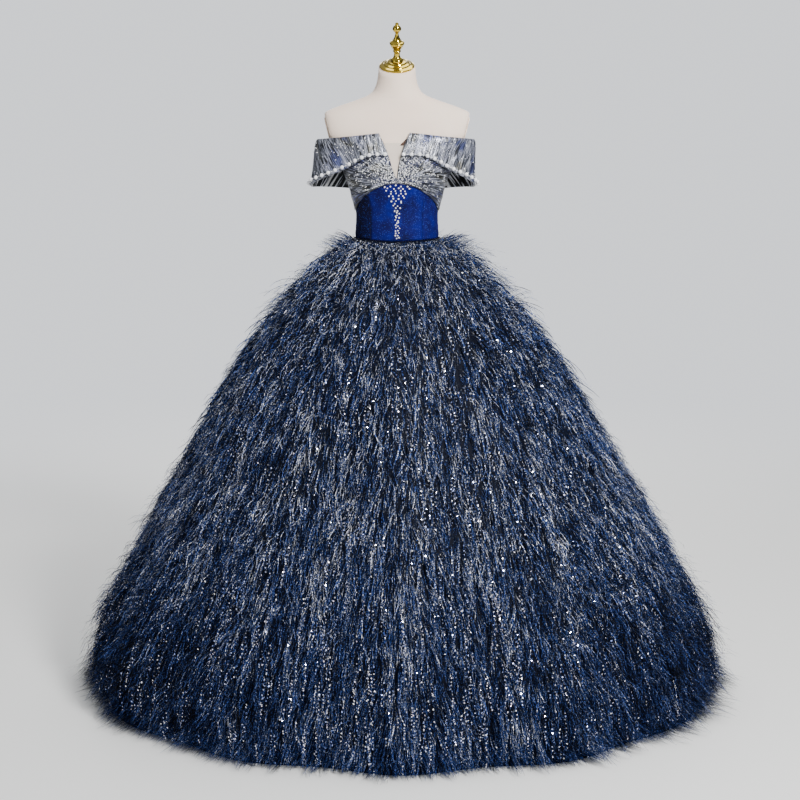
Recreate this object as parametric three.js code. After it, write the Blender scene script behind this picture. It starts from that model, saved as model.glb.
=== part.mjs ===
// Off-the-shoulder ball gown on a limbless dress form, at real size.
// Millimetres, +Z up, the front faces -Y, and the origin is on the floor at the middle of the stand.
// Every point is found from its turn, the angle in degrees round Z from the front (0) towards +X (90),
// and its height. The form and each layer of cloth are radii from the axis, so that layers never cross.
import * as THREE from "three";

// Driving dimensions.
const waistHeight = 1174; // waist seam at the side seams
const waistDip = 6; // how far the seam drops at centre front
const underbustHeight = 1315; // top of the velvet at centre front
const underbustDrop = 72; // from there down to the side seam
const midriffTuck = 12; // velvet hidden under the bust panels
const princessTurn = 45; // seam between front and side velvet panels
const sideBackTurn = 105; // seam between side and back velvet panels
const sideSeamTurn = 95; // seam between bust panel and bodice back
const seamGap = 0.3;
const midriffRows = 6;
const bodiceBackGrid = { columns: 9, rows: 6 };

// Layers of cloth, as distances out from the form.
const layers = {
  inset: { inner: 2.4, outer: 3.4 },
  midriff: { inner: 1, outer: 3 },
  bodice: { inner: 4, outer: 6.2 },
  collar: { inner: 7.8 },
};
const skirtWall = 2.5;

// Dress form, from the hip up: half width, depth in front and behind, and how square each section is.
const formSections = [
  { z: 880, halfWidth: 165, front: 110, back: 115, power: 2.3 },
  { z: 935, halfWidth: 168, front: 110, back: 119, power: 2.3 },
  { z: 1000, halfWidth: 164, front: 104, back: 116, power: 2.3 },
  { z: 1060, halfWidth: 150, front: 96, back: 105, power: 2.3 },
  { z: 1120, halfWidth: 124, front: 87, back: 90, power: 2.2 },
  { z: 1172, halfWidth: 107, front: 79, back: 79, power: 2.2 },
  { z: 1231, halfWidth: 103, front: 77.5, back: 75, power: 2.2 },
  { z: 1275, halfWidth: 110, front: 84, back: 79, power: 2.2 },
  { z: 1310, halfWidth: 120, front: 91, back: 85, power: 2.2 },
  { z: 1350, halfWidth: 135, front: 96, back: 90, power: 2.2 },
  { z: 1390, halfWidth: 158, front: 94, back: 95, power: 2.3 },
  { z: 1430, halfWidth: 190, front: 85, back: 95, power: 2.4 },
  { z: 1460, halfWidth: 200, front: 76, back: 91, power: 2.4 },
  { z: 1480, halfWidth: 198, front: 68, back: 84, power: 2.3 },
  { z: 1495, halfWidth: 184, front: 60, back: 77, power: 2.2 },
  { z: 1510, halfWidth: 150, front: 55, back: 69, power: 2 },
  { z: 1525, halfWidth: 106, front: 52, back: 62, power: 1.9 },
  { z: 1537, halfWidth: 76, front: 50, back: 57, power: 2 },
  { z: 1550, halfWidth: 60, front: 49, back: 53, power: 2 },
  { z: 1578, halfWidth: 50, front: 47, back: 49, power: 2 },
  { z: 1610, halfWidth: 46.5, front: 46, back: 46, power: 2 },
];
const formRings = [
  880, 905, 960, 1030, 1090, 1135, 1165, 1186, 1206, 1226, 1246, 1264, 1282, 1299, 1316, 1334, 1352, 1370,
  1394, 1425, 1460, 1484, 1496, 1508, 1522, 1534, 1546, 1568, 1610,
];
const formStations = 36;
const bust = { reach: 16, apart: 78, spread: 50, z: 1350, height: 48 };
const armPlate = { x: 184.5, z: 1482, slope: 0.255, halfDepth: 33, halfHeight: 40, middle: 1443, thick: 3 };
const neck = { slantStart: 1525, top: 1610, slant: 24 }; // the cap's plane leans forward by slant degrees
const capProfile = [
  { radius: 0, rise: 0 },
  { radius: 44, rise: 0 },
  { radius: 45.5, rise: 3 },
  { radius: 41, rise: 5.5 },
  { radius: 34.5, rise: 6.5 },
  { radius: 33, rise: 9.5 },
  { radius: 26, rise: 11 },
  { radius: 23.5, rise: 15 },
  { radius: 0, rise: 15 },
];
const finialProfile = [
  { radius: 0, rise: 15.3 },
  { radius: 16, rise: 15.3 },
  { radius: 14.5, rise: 21 },
  { radius: 8.5, rise: 27.5 },
  { radius: 8, rise: 38 },
  { radius: 10.5, rise: 42.5 },
  { radius: 9.5, rise: 46 },
  { radius: 15, rise: 55 },
  { radius: 19, rise: 65 },
  { radius: 12.5, rise: 70 },
  { radius: 7, rise: 79 },
  { radius: 4.6, rise: 90 },
  { radius: 10, rise: 98 },
  { radius: 11, rise: 103.5 },
  { radius: 7.5, rise: 110 },
  { radius: 4.2, rise: 113 },
  { radius: 5.2, rise: 116 },
  { radius: 0, rise: 120 },
];
const turnedSides = 16;
const pole = { radius: 16, socketRadius: 26, socketHeight: 45 };
const base = { radius: 170, edge: 9, dome: 18, hub: 40 };
const baseProfile = [
  { radius: 0, rise: 0 },
  { radius: base.radius - 3, rise: 0 },
  { radius: base.radius, rise: 3 },
  { radius: base.radius, rise: base.edge },
  { radius: base.hub, rise: base.dome },
  { radius: 0, rise: base.dome },
];
const poleProfile = [
  { radius: 0, rise: base.dome + seamGap },
  { radius: pole.socketRadius, rise: base.dome + seamGap },
  { radius: pole.socketRadius, rise: base.dome + pole.socketHeight },
  { radius: pole.radius, rise: base.dome + pole.socketHeight },
  { radius: pole.radius, rise: formSections[0].z - seamGap },
  { radius: 0, rise: formSections[0].z - seamGap },
];

// Collar: a folded band round the shoulders. Each half runs from the notch to the centre back.
const collar = {
  top: { front: 76, back: 92, halfWidth: { left: 202, right: 196 } },
  bottom: { front: 92, back: 92, halfWidth: { left: 219, right: 198 } },
  power: 2.6,
  topHeight: 1444,
  topDrop: 18,
  bottomHeight: 1387,
  bottomDrop: 85,
  backDrop: 12,
  columns: 26,
};
const collarRows = [
  { up: 0, wall: 3 },
  { up: 0.3, wall: 3.6 },
  { up: 0.6, wall: 4.6 },
  { up: 0.85, wall: 6 },
  { up: 0.96, wall: 5 },
  { up: 1, wall: 2.4 },
];

// The notch at centre front: how far its two edges are from the middle.
const notch = [
  { z: 1331, left: 3, right: 0.3 },
  { z: 1356, left: 12, right: 3 },
  { z: 1384, left: 20, right: 9 },
  { z: 1418, left: 32, right: 20 },
  { z: 1444, left: 41, right: 30 },
];
const bodiceTop = { front: 1424, side: 1362, back: 1395 };
const drape = { z: 1325, pitch: 20, height: 3.2, knotStart: 18, knotEnd: 60, seamFade: 22 };
const bustGrid = { columns: 16, rows: 10 };
const inset = { top: 1418, bottom: 1330, tuck: 9, columns: 6, rows: 5 };
const pearls = { radius: 5, cord: 1.6, spacing: 20, sides: 5, clear: 2.2 };
const trim = { up: 0.06, startTurn: 3, endTurn: 112, samples: 200 }; // where the string of pearls lies
const pearlRings = [
  { along: -1, radius: pearls.cord },
  { along: -0.45, radius: pearls.radius },
  { along: 0.45, radius: pearls.radius },
  { along: 1, radius: pearls.cord },
];

// Skirt: the wall's outer half width and depth. z is measured as if the waist seam were level.
const skirtSections = [
  { z: 0, halfWidth: 805, depth: 770, power: 2, fold: 18 },
  { z: 100, halfWidth: 798, depth: 766, power: 2, fold: 17 },
  { z: 200, halfWidth: 768, depth: 742, power: 2, fold: 16 },
  { z: 300, halfWidth: 721, depth: 702, power: 2, fold: 14 },
  { z: 400, halfWidth: 668, depth: 656, power: 2, fold: 12.5 },
  { z: 500, halfWidth: 617, depth: 609, power: 2, fold: 11 },
  { z: 600, halfWidth: 558, depth: 555, power: 2, fold: 10 },
  { z: 700, halfWidth: 504, depth: 504, power: 2, fold: 9 },
  { z: 800, halfWidth: 447, depth: 447, power: 2, fold: 8 },
  { z: 900, halfWidth: 383, depth: 381, power: 2, fold: 7 },
  { z: 1000, halfWidth: 306, depth: 300, power: 2, fold: 5 },
  { z: 1050, halfWidth: 260, depth: 250, power: 2, fold: 4 },
  { z: 1100, halfWidth: 212, depth: 196, power: 2.05, fold: 2.5 },
  { z: 1130, halfWidth: 178, depth: 157, power: 2.1, fold: 1.5 },
  { z: 1150, halfWidth: 148, depth: 124, power: 2.15, fold: 0.6 },
  { z: 1174, halfWidth: 110.5, depth: 82.5, power: 2.2, fold: 0 },
];
const skirtRows = [0, 165, 330, 530, 720, 900, 980, 1050, 1115, 1150, 1174];
const skirtStations = 72;
const skirtFolds = 12;
const foldWander = [
  { swing: 9, waves: 2, start: 0.7 },
  { swing: 5, waves: 5, start: 2.1 },
];
const foldSize = { least: 0.5, waves: 3, start: 1.3 };
const hemSway = 20; // the hem hangs this far towards +X

// Pile: tiers of locks hanging from narrow strips round the skirt. row is the strip's place in skirtRows, and
// the locks reach just past the strip at next, or to the floor.
const pileTiers = [
  { row: 10, next: 7, locks: 24, flare: 26 },
  { row: 7, next: 5, locks: 36, flare: 32 },
  { row: 5, next: 4, locks: 36, flare: 36 },
  { row: 4, next: 3, locks: 36, flare: 38 },
  { row: 3, next: 2, locks: 36, flare: 38 },
  { row: 2, next: 0, locks: 36, flare: 40 },
];
const strip = { height: 22, top: 1.4, inner: 1.1, outer: 5 };
const lock = {
  overlap: 34, // how far the locks reach past the next strip
  floorClear: 7,
  bend: 0.42, // place of the bend along the lock
  lift: 0.5, // share of the flare that it has there
  thick: 12,
  taper: 0.62,
  lean: 12,
  shorten: 0.11,
  flareSpread: 0.2,
};

const degrees = Math.PI / 180;
const sideSign = { left: -1, right: 1 };

function smooth(from, to, value) {
  const t = Math.min(1, Math.max(0, (value - from) / (to - from)));
  return t * t * (3 - 2 * t);
}

function mix(a, b, t) {
  return a + (b - a) * t;
}

// A steady stand-in for chance: the same number from -1 to 1 for the same pair.
function chance(index, seed) {
  const wave = Math.sin(index * 12.9898 + seed * 78.233) * 43758.5453;
  return 2 * (wave - Math.floor(wave)) - 1;
}

// Reads a column of a table at a height, on a smooth curve that never overshoots the rows.
function readTable(table, column, z) {
  const last = table.length - 1;
  if (z <= table[0].z) return table[0][column];
  if (z >= table[last].z) return table[last][column];
  const i = table.findIndex((row) => row.z > z) - 1;
  const slope = (k) => (table[k + 1][column] - table[k][column]) / (table[k + 1].z - table[k].z);
  const tangent = (k) => {
    if (k === 0) return slope(0);
    if (k === last) return slope(last - 1);
    const before = slope(k - 1);
    const after = slope(k);
    return before * after <= 0 ? 0 : (2 * before * after) / (before + after);
  };
  const span = table[i + 1].z - table[i].z;
  const t = (z - table[i].z) / span;
  const rise = table[i + 1][column] - table[i][column];
  const curve = (1 - t) * tangent(i) * span - t * tangent(i + 1) * span + (2 * t - 1) * rise;
  return table[i][column] + t * rise + t * (1 - t) * curve;
}

// Radius of a rounded section in the direction of a turn.
function sectionRadius(turn, halfWidth, front, back, power) {
  const across = Math.abs(Math.sin(turn * degrees)) / halfWidth;
  const along = Math.cos(turn * degrees);
  const deep = Math.abs(along) / (along > 0 ? front : back);
  return (across ** power + deep ** power) ** (-1 / power);
}

function place(turn, radius, z) {
  return [radius * Math.sin(turn * degrees), -radius * Math.cos(turn * degrees), z];
}

// The form's own surface.
function formRadius(turn, z) {
  const column = (name) => readTable(formSections, name, z);
  let radius = sectionRadius(turn, column("halfWidth"), column("front"), column("back"), column("power"));
  const across = Math.abs(Math.sin(turn * degrees));
  const plateX = armPlate.x + (z - armPlate.z) * armPlate.slope;
  if (radius * across > plateX) radius = plateX / across;
  if (Math.cos(turn * degrees) > 0) {
    const side = (radius * across - bust.apart) / bust.spread;
    const up = (z - bust.z) / bust.height;
    radius += bust.reach * Math.exp(-side * side - up * up) * Math.cos(turn * degrees) ** 0.5;
  }
  return radius;
}

function waistZ(turn) {
  return waistHeight - waistDip * Math.max(0, Math.cos(turn * degrees)) ** 2;
}

function underbustZ(turn) {
  const swing = Math.min(90, 1.15 * Math.abs(turn));
  return underbustHeight - underbustDrop * (1 - Math.cos(swing * degrees));
}

function bodiceTopZ(turn) {
  const away = Math.abs(turn);
  const toSide = mix(bodiceTop.front, bodiceTop.side, smooth(35, 88, away));
  return mix(toSide, bodiceTop.back, smooth(100, 165, away));
}

function collarTopZ(turn) {
  return collar.topHeight - collar.topDrop * smooth(15, 95, Math.abs(turn));
}

function collarBottomZ(turn) {
  const away = Math.abs(turn);
  const drop = collar.bottomDrop * smooth(25, 100, away) + collar.backDrop * smooth(100, 150, away);
  return collar.bottomHeight - drop;
}

// The turn at which the notch's edge lies at a height, for one side, on cloth that is out from the form.
function notchTurn(side, z, out) {
  const from = Math.max(z, notch[0].z);
  const apart = z < notch[0].z ? seamGap / 2 : readTable(notch, side, from);
  return (sideSign[side] * Math.asin(apart / (formRadius(0, z) + out))) / degrees;
}

// Soft folds that fan out over the bust from the knot at centre front.
function drapeLift(turn, z) {
  const across = Math.abs(turn) * degrees * formRadius(turn, z);
  const up = z - drape.z;
  const fan = Math.atan2(up, across) / degrees;
  const wave = 0.5 + 0.5 * Math.cos((2 * Math.PI * fan) / drape.pitch);
  const clearOfKnot = smooth(drape.knotStart, drape.knotEnd, Math.hypot(across, up));
  const clearOfSeam = 1 - smooth(sideSeamTurn - drape.seamFade, sideSeamTurn - 4, Math.abs(turn));
  const edge = smooth(0, 14, z - underbustZ(turn));
  const underCollar = 1 - smooth(-24, -8, z - collarBottomZ(turn));
  return drape.height * wave * clearOfKnot * clearOfSeam * edge * underCollar;
}

// The collar hugs the bodice in front and behind, and stands clear round the arms.
function collarRadius(side, turn, up, z) {
  const blend = (name) => mix(collar.bottom[name], collar.top[name], up);
  const halfWidth = mix(collar.bottom.halfWidth[side], collar.top.halfWidth[side], up);
  const free = sectionRadius(turn, halfWidth, blend("front"), blend("back"), collar.power);
  const hug = formRadius(turn, z) + layers.collar.inner;
  const softness = 4;
  return (free + hug + Math.hypot(free - hug, softness)) / 2;
}

// The skirt's folds, from -1 in a hollow to 1 on a crest, uneven in place and depth.
function foldWave(turn) {
  const wave = ({ waves, start }) => Math.sin(waves * turn * degrees + start);
  const wander = foldWander.reduce((sum, bend) => sum + bend.swing * wave(bend), 0);
  const size = mix(foldSize.least, 1, 0.5 + 0.5 * wave(foldSize));
  return size * Math.cos((skirtFolds * turn + wander) * degrees);
}

// A point of the skirt's wall, out by a distance from its outer face. level is z with a level waist seam.
function skirtPoint(turn, level, out) {
  const column = (name) => readTable(skirtSections, name, level);
  const depth = column("depth");
  const section = sectionRadius(turn, column("halfWidth"), depth, depth, column("power"));
  const radius = section + column("fold") * foldWave(turn) + out;
  const [x, y] = place(turn, radius, 0);
  return [x + hemSway * (1 - level / waistHeight), y, (level / waistHeight) * waistZ(turn)];
}

// Collects points and faces into a closed mesh whose faces point out.
class Shell {
  points = [];
  faces = [];

  point(xyz) {
    return this.points.push(xyz) - 1;
  }

  triangle(a, b, c) {
    this.faces.push([a, b, c]);
  }

  quad(a, b, c, d) {
    this.triangle(a, b, c);
    this.triangle(a, c, d);
  }

  // Joins two rows of points, and closes them into a ring if wrap is set.
  band(below, above, wrap = false) {
    const count = below.length - (wrap ? 0 : 1);
    for (let i = 0; i < count; i++) {
      const j = (i + 1) % below.length;
      this.quad(below[i], below[j], above[j], above[i]);
    }
  }

  geometry() {
    const corner = (i) => new THREE.Vector3(...this.points[i]);
    const volume = this.faces.reduce((sum, [a, b, c]) => sum + corner(a).dot(corner(b).cross(corner(c))), 0);
    const order = volume < 0 ? ([a, b, c]) => [a, c, b] : (face) => face;
    const made = new THREE.BufferGeometry();
    made.setAttribute("position", new THREE.Float32BufferAttribute(this.points.flat(), 3));
    made.setIndex(this.faces.flatMap(order));
    made.computeVertexNormals();
    return made;
  }
}

// A closed wall of cloth. pointAt(across, up, outer) gives a point of its inner or outer face,
// with across and up from 0 to 1.
function clothWall(columns, rows, pointAt) {
  const shell = new Shell();
  const face = (outer) =>
    Array.from({ length: rows + 1 }, (_, j) =>
      Array.from({ length: columns + 1 }, (_, i) => shell.point(pointAt(i / columns, j / rows, outer))),
    );
  const inner = face(false);
  const outer = face(true);
  for (let j = 0; j < rows; j++) {
    shell.band(outer[j], outer[j + 1]);
    shell.band(inner[j + 1], inner[j]);
  }
  shell.band(inner[0], outer[0]);
  shell.band(outer[rows], inner[rows]);
  const edge = (rowsOfFace, i) => rowsOfFace.map((row) => row[i]);
  shell.band(edge(outer, 0), edge(inner, 0));
  shell.band(edge(inner, columns), edge(outer, columns));
  return shell.geometry();
}

// Draws a seam's gap back from the ends of a panel: half of it at each end.
function seamed(across, from, to, radius) {
  const half = seamGap / 2 / radius / degrees;
  return mix(from + half, to - half, across);
}

function ordered(a, b) {
  return a < b ? [a, b] : [b, a];
}

function midriffPanel(from, to, columns) {
  return clothWall(columns, midriffRows, (across, up, outer) => {
    const turn = seamed(across, from, to, formRadius(to, waistHeight));
    const z = mix(waistZ(turn) + seamGap, underbustZ(turn) + midriffTuck, up);
    const { inner: near, outer: far } = layers.midriff;
    return place(turn, formRadius(turn, z) + (outer ? far : near), z);
  });
}

// One side of the draped bust, from the notch to the side seam.
function bustPanel(side) {
  const { inner: near, outer: far } = layers.bodice;
  return clothWall(bustGrid.columns, bustGrid.rows, (across, up, outer) => {
    const edgeZ = mix(underbustZ(0), bodiceTopZ(0), up);
    const start = notchTurn(side, edgeZ, far);
    const turn = mix(start, sideSign[side] * (sideSeamTurn - seamGap), across);
    const z = mix(underbustZ(turn) + seamGap, bodiceTopZ(turn), up);
    return place(turn, formRadius(turn, z) + (outer ? far + drapeLift(turn, z) : near), z);
  });
}

function bodiceBack(side) {
  const { inner: near, outer: far } = layers.bodice;
  return clothWall(bodiceBackGrid.columns, bodiceBackGrid.rows, (across, up, outer) => {
    const turn = sideSign[side] * seamed(across, sideSeamTurn, 180, formRadius(180, waistHeight));
    const z = mix(underbustZ(turn) + seamGap, bodiceTopZ(turn), up);
    return place(turn, formRadius(turn, z) + (outer ? far : near), z);
  });
}

function insetPanel() {
  const { inner: near, outer: far } = layers.inset;
  return clothWall(inset.columns, inset.rows, (across, up, outer) => {
    const z = mix(inset.bottom, inset.top, up);
    const reach = (side) => sideSign[side] * (readTable(notch, side, z) + inset.tuck);
    const x = mix(reach("left"), reach("right"), across);
    const turn = Math.asin(x / formRadius(0, z)) / degrees;
    return place(turn, formRadius(turn, z) + (outer ? far : near), z);
  });
}

function collarHalf(side) {
  const { inner: near } = layers.collar;
  return clothWall(collar.columns, collarRows.length - 1, (across, share, outer) => {
    const { up, wall } = collarRows[Math.round(share * (collarRows.length - 1))];
    const edgeZ = mix(collarBottomZ(0), collarTopZ(0), up);
    const start = Math.abs(notchTurn(side, edgeZ, near));
    const turn = sideSign[side] * mix(start, 180 - seamGap / 2, across);
    const z = mix(collarBottomZ(turn), collarTopZ(turn), up);
    return place(turn, collarRadius(side, turn, up, z) + (outer ? wall : 0), z);
  });
}

function skirtPanel(from, to) {
  const columns = Math.round(((to - from) / 360) * skirtStations);
  const rows = skirtRows.length - 1;
  return clothWall(columns, rows, (across, up, outer) => {
    const level = skirtRows[Math.round(up * rows)];
    const turn = seamed(across, from, to, readTable(skirtSections, "halfWidth", level));
    return skirtPoint(turn, level, outer ? 0 : -skirtWall);
  });
}

// One tier of pile: a narrow strip round the skirt, parted from it, and the locks that hang from it.
function pileTier({ row, next, locks, flare }, seed) {
  const shell = new Shell();
  const level = skirtRows[row];
  const below = skirtRows[row - 1];
  const share = strip.height / (level - below);
  const turns = Array.from({ length: skirtStations }, (_, i) => (i * 360) / skirtStations - 180);

  // The strip is a wedge, sewn at its top edge, that lies along the wall's own flat faces.
  const ring = (out, drop) =>
    turns.map((turn) => {
      const upper = skirtPoint(turn, level, out);
      const lower = skirtPoint(turn, below, out);
      return shell.point(upper.map((value, k) => mix(value, lower[k], drop)));
    });
  const edge = ring(strip.top, 0);
  const innerFoot = ring(strip.inner, share);
  const outerFoot = ring(strip.outer, share);
  shell.band(edge, innerFoot, true);
  shell.band(innerFoot, outerFoot, true);

  const pitch = skirtStations / locks;
  const shift = seed % 2;
  const end = next === 0 ? lock.floorClear : skirtRows[next] - lock.overlap;
  for (let i = 0; i < skirtStations; i++) {
    const j = (i + 1) % skirtStations;
    const root = [edge[i], edge[j], outerFoot[j], outerFoot[i]];
    if ((i + shift) % pitch !== 0) {
      shell.quad(root[3], root[2], root[1], root[0]);
      continue;
    }
    // Root, bend and tip of a four-sided lock that hangs down the skirt and swings away from it.
    const width = 360 / skirtStations;
    const middle = turns[i] + width / 2;
    const lean = (lock.lean * chance(i, seed)) / readTable(skirtSections, "halfWidth", level) / degrees;
    const tipLevel = next === 0 ? end : end - (level - end) * lock.shorten * Math.abs(chance(i, seed + 9));
    const bendLevel = mix(level, tipLevel, lock.bend);
    const half = (width / 2) * lock.taper;
    const near = strip.outer + flare * lock.lift;
    const bend = [
      skirtPoint(middle - half + lean / 2, bendLevel, near + lock.thick),
      skirtPoint(middle + half + lean / 2, bendLevel, near + lock.thick),
      skirtPoint(middle + half + lean / 2, bendLevel, near),
      skirtPoint(middle - half + lean / 2, bendLevel, near),
    ].map((xyz) => shell.point(xyz));
    const tipOut = strip.outer + flare * (1 + lock.flareSpread * chance(i, seed + 5));
    const tip = shell.point(skirtPoint(middle + lean, tipLevel, tipOut));
    for (let k = 0; k < 4; k++) {
      const m = (k + 1) % 4;
      shell.quad(root[k], bend[k], bend[m], root[m]);
      shell.triangle(bend[k], tip, bend[m]);
    }
  }
  return shell.geometry();
}

// The form's torso, closed at the hip and at the neck. The neck's top leans forward.
function formTorso() {
  const shell = new Shell();
  const slanted = ([x, y, z]) => [
    x, y, z + y * Math.tan(neck.slant * degrees) * smooth(neck.slantStart, neck.top, z),
  ];
  const rings = formRings.map((z) =>
    Array.from({ length: formStations }, (_, i) => {
      const turn = (i * 360) / formStations - 180;
      return shell.point(slanted(place(turn, formRadius(turn, z), z)));
    }),
  );
  rings.slice(1).forEach((ring, k) => shell.band(rings[k], ring, true));
  const foot = shell.point([0, 0, formRings[0]]);
  const top = shell.point([0, 0, neck.top]);
  for (let i = 0; i < formStations; i++) {
    const j = (i + 1) % formStations;
    shell.triangle(rings[0][j], rings[0][i], foot);
    shell.triangle(rings.at(-1)[i], rings.at(-1)[j], top);
  }
  return shell.geometry();
}

function turned(profile) {
  const lathe = new THREE.LatheGeometry(
    profile.map(({ radius, rise }) => new THREE.Vector2(radius, rise)),
    turnedSides,
  );
  return lathe.rotateX(Math.PI / 2);
}

const pileCloth = new THREE.MeshStandardMaterial({ color: "#27375f", roughness: 0.45, metalness: 0.35 });
const skirtCloth = new THREE.MeshStandardMaterial({ color: "#1b2440", roughness: 0.8, metalness: 0 });
const jacquard = new THREE.MeshStandardMaterial({ color: "#8d93a3", roughness: 0.4, metalness: 0.5 });
const velvet = new THREE.MeshStandardMaterial({ color: "#0d2a9c", roughness: 0.75, metalness: 0 });
const pearl = new THREE.MeshStandardMaterial({ color: "#e6e4ea", roughness: 0.25, metalness: 0.1 });
const sheer = new THREE.MeshStandardMaterial({ color: "#ddd5c9", roughness: 0.7, metalness: 0 });
const formCloth = new THREE.MeshStandardMaterial({ color: "#dccfc4", roughness: 0.85, metalness: 0 });
const gilt = new THREE.MeshStandardMaterial({ color: "#c9a227", roughness: 0.15, metalness: 1 });
const standPaint = new THREE.MeshStandardMaterial({ color: "#2a2b2e", roughness: 0.4, metalness: 0.8 });

const gown = new THREE.Group();

function add(name, geometry, material) {
  const mesh = new THREE.Mesh(geometry, material);
  mesh.name = name;
  gown.add(mesh);
}

// A rounded disc that covers the form's flat arm opening, leaning with it.
function armPlateDisc(side) {
  const lean = Math.atan(armPlate.slope);
  const out = armPlate.thick / 2 + seamGap;
  const disc = new THREE.CylinderGeometry(1, 1, armPlate.thick, turnedSides);
  disc.scale(armPlate.halfDepth, 1, armPlate.halfHeight);
  disc.rotateZ(-Math.PI / 2).rotateY(lean);
  const x = armPlate.x + (armPlate.middle - armPlate.z) * armPlate.slope;
  disc.translate(x + out * Math.cos(lean), 0, armPlate.middle - out * Math.sin(lean));
  return side === "left" ? disc.rotateZ(Math.PI) : disc;
}

// The turned cap and finial stand square to the neck's slanted top.
function neckFitting(profile) {
  const fitting = turned(profile);
  fitting.rotateX(neck.slant * degrees);
  return fitting.translate(0, 0, neck.top + seamGap);
}

// A string of pearls along the lower edge of one half of the collar, on a thin cord.
function pearlTrim(side) {
  const shell = new Shell();
  const path = (across) => {
    const start = Math.abs(notchTurn(side, collarBottomZ(0), layers.collar.inner)) + trim.startTurn;
    const turn = sideSign[side] * mix(start, trim.endTurn, across);
    const z = mix(collarBottomZ(turn), collarTopZ(turn), trim.up);
    const out = collarRows[0].wall + pearls.radius + pearls.clear;
    return new THREE.Vector3(...place(turn, collarRadius(side, turn, trim.up, z) + out, z));
  };
  const samples = Array.from({ length: trim.samples + 1 }, (_, i) => path(i / trim.samples));
  const curve = new THREE.CatmullRomCurve3(samples);
  const length = curve.getLength();
  const count = Math.round(length / pearls.spacing);
  const pitch = length / count;
  const rings = [];
  for (let bead = 0; bead < count; bead++) {
    for (const { along, radius } of pearlRings) {
      const at = (pitch * (bead + 0.5) + along * pearls.radius) / length;
      const centre = curve.getPointAt(at);
      const ahead = curve.getTangentAt(at);
      const up = new THREE.Vector3(0, 0, 1).cross(ahead).cross(ahead).normalize();
      const aside = new THREE.Vector3().crossVectors(ahead, up);
      rings.push(
        Array.from({ length: pearls.sides }, (_, i) => {
          const swing = (2 * Math.PI * i) / pearls.sides;
          const corner = centre.clone().addScaledVector(up, Math.cos(swing) * radius);
          return shell.point(corner.addScaledVector(aside, Math.sin(swing) * radius).toArray());
        }),
      );
    }
  }
  rings.slice(1).forEach((ring, k) => shell.band(rings[k], ring, true));
  for (let i = 1; i < pearls.sides - 1; i++) {
    shell.triangle(rings[0][0], rings[0][i + 1], rings[0][i]);
    shell.triangle(rings.at(-1)[0], rings.at(-1)[i], rings.at(-1)[i + 1]);
  }
  return shell.geometry();
}

add("form_base", turned(baseProfile), standPaint);
add("form_pole", turned(poleProfile), standPaint);
add("form_torso", formTorso(), formCloth);
add("form_neck_cap", neckFitting(capProfile), gilt);
add("form_finial", neckFitting(finialProfile), gilt);
for (const side of ["left", "right"]) {
  add(`form_arm_plate_${side}`, armPlateDisc(side), formCloth);
}

add("skirt_front", skirtPanel(-90, 90), skirtCloth);
add("skirt_back_right", skirtPanel(90, 180), skirtCloth);
add("skirt_back_left", skirtPanel(-180, -90), skirtCloth);
pileTiers.forEach((tier, i) => add(`pile_tier_${i + 1}`, pileTier(tier, i + 1), pileCloth));

add("midriff_front", midriffPanel(-princessTurn, princessTurn, 12), velvet);
for (const side of ["left", "right"]) {
  const sign = sideSign[side];
  add(`midriff_side_${side}`, midriffPanel(...ordered(sign * princessTurn, sign * sideBackTurn), 8), velvet);
  add(`midriff_back_${side}`, midriffPanel(...ordered(sign * sideBackTurn, sign * 180), 8), velvet);
}

add("illusion_inset", insetPanel(), sheer);
for (const side of ["left", "right"]) {
  add(`bust_${side}`, bustPanel(side), jacquard);
  add(`bodice_back_${side}`, bodiceBack(side), jacquard);
  add(`collar_${side}`, collarHalf(side), jacquard);
  add(`pearl_trim_${side}`, pearlTrim(side), pearl);
}

export default gown;
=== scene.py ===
# Off-the-shoulder ball gown on a limbless dress form: cloth, yarn pile, pearls, beads and their finishes.
# Sizes are in millimetres, +Z up, the front faces -Y. A turn is in degrees from the front (0) to +X (90).
import math

import bpy
import numpy as np
from mathutils import Matrix


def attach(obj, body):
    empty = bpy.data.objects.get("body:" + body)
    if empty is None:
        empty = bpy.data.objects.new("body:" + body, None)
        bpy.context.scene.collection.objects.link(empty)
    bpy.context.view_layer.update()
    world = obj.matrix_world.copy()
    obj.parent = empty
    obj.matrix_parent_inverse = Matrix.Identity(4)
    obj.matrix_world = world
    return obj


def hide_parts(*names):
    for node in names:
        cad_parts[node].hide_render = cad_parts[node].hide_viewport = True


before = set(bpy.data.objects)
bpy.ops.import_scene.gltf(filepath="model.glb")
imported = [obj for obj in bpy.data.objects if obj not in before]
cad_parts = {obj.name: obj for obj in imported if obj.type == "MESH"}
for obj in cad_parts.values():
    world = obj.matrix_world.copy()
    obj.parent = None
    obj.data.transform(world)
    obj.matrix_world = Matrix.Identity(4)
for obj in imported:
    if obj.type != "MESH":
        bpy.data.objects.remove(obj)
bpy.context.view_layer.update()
mm = 0.001

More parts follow.
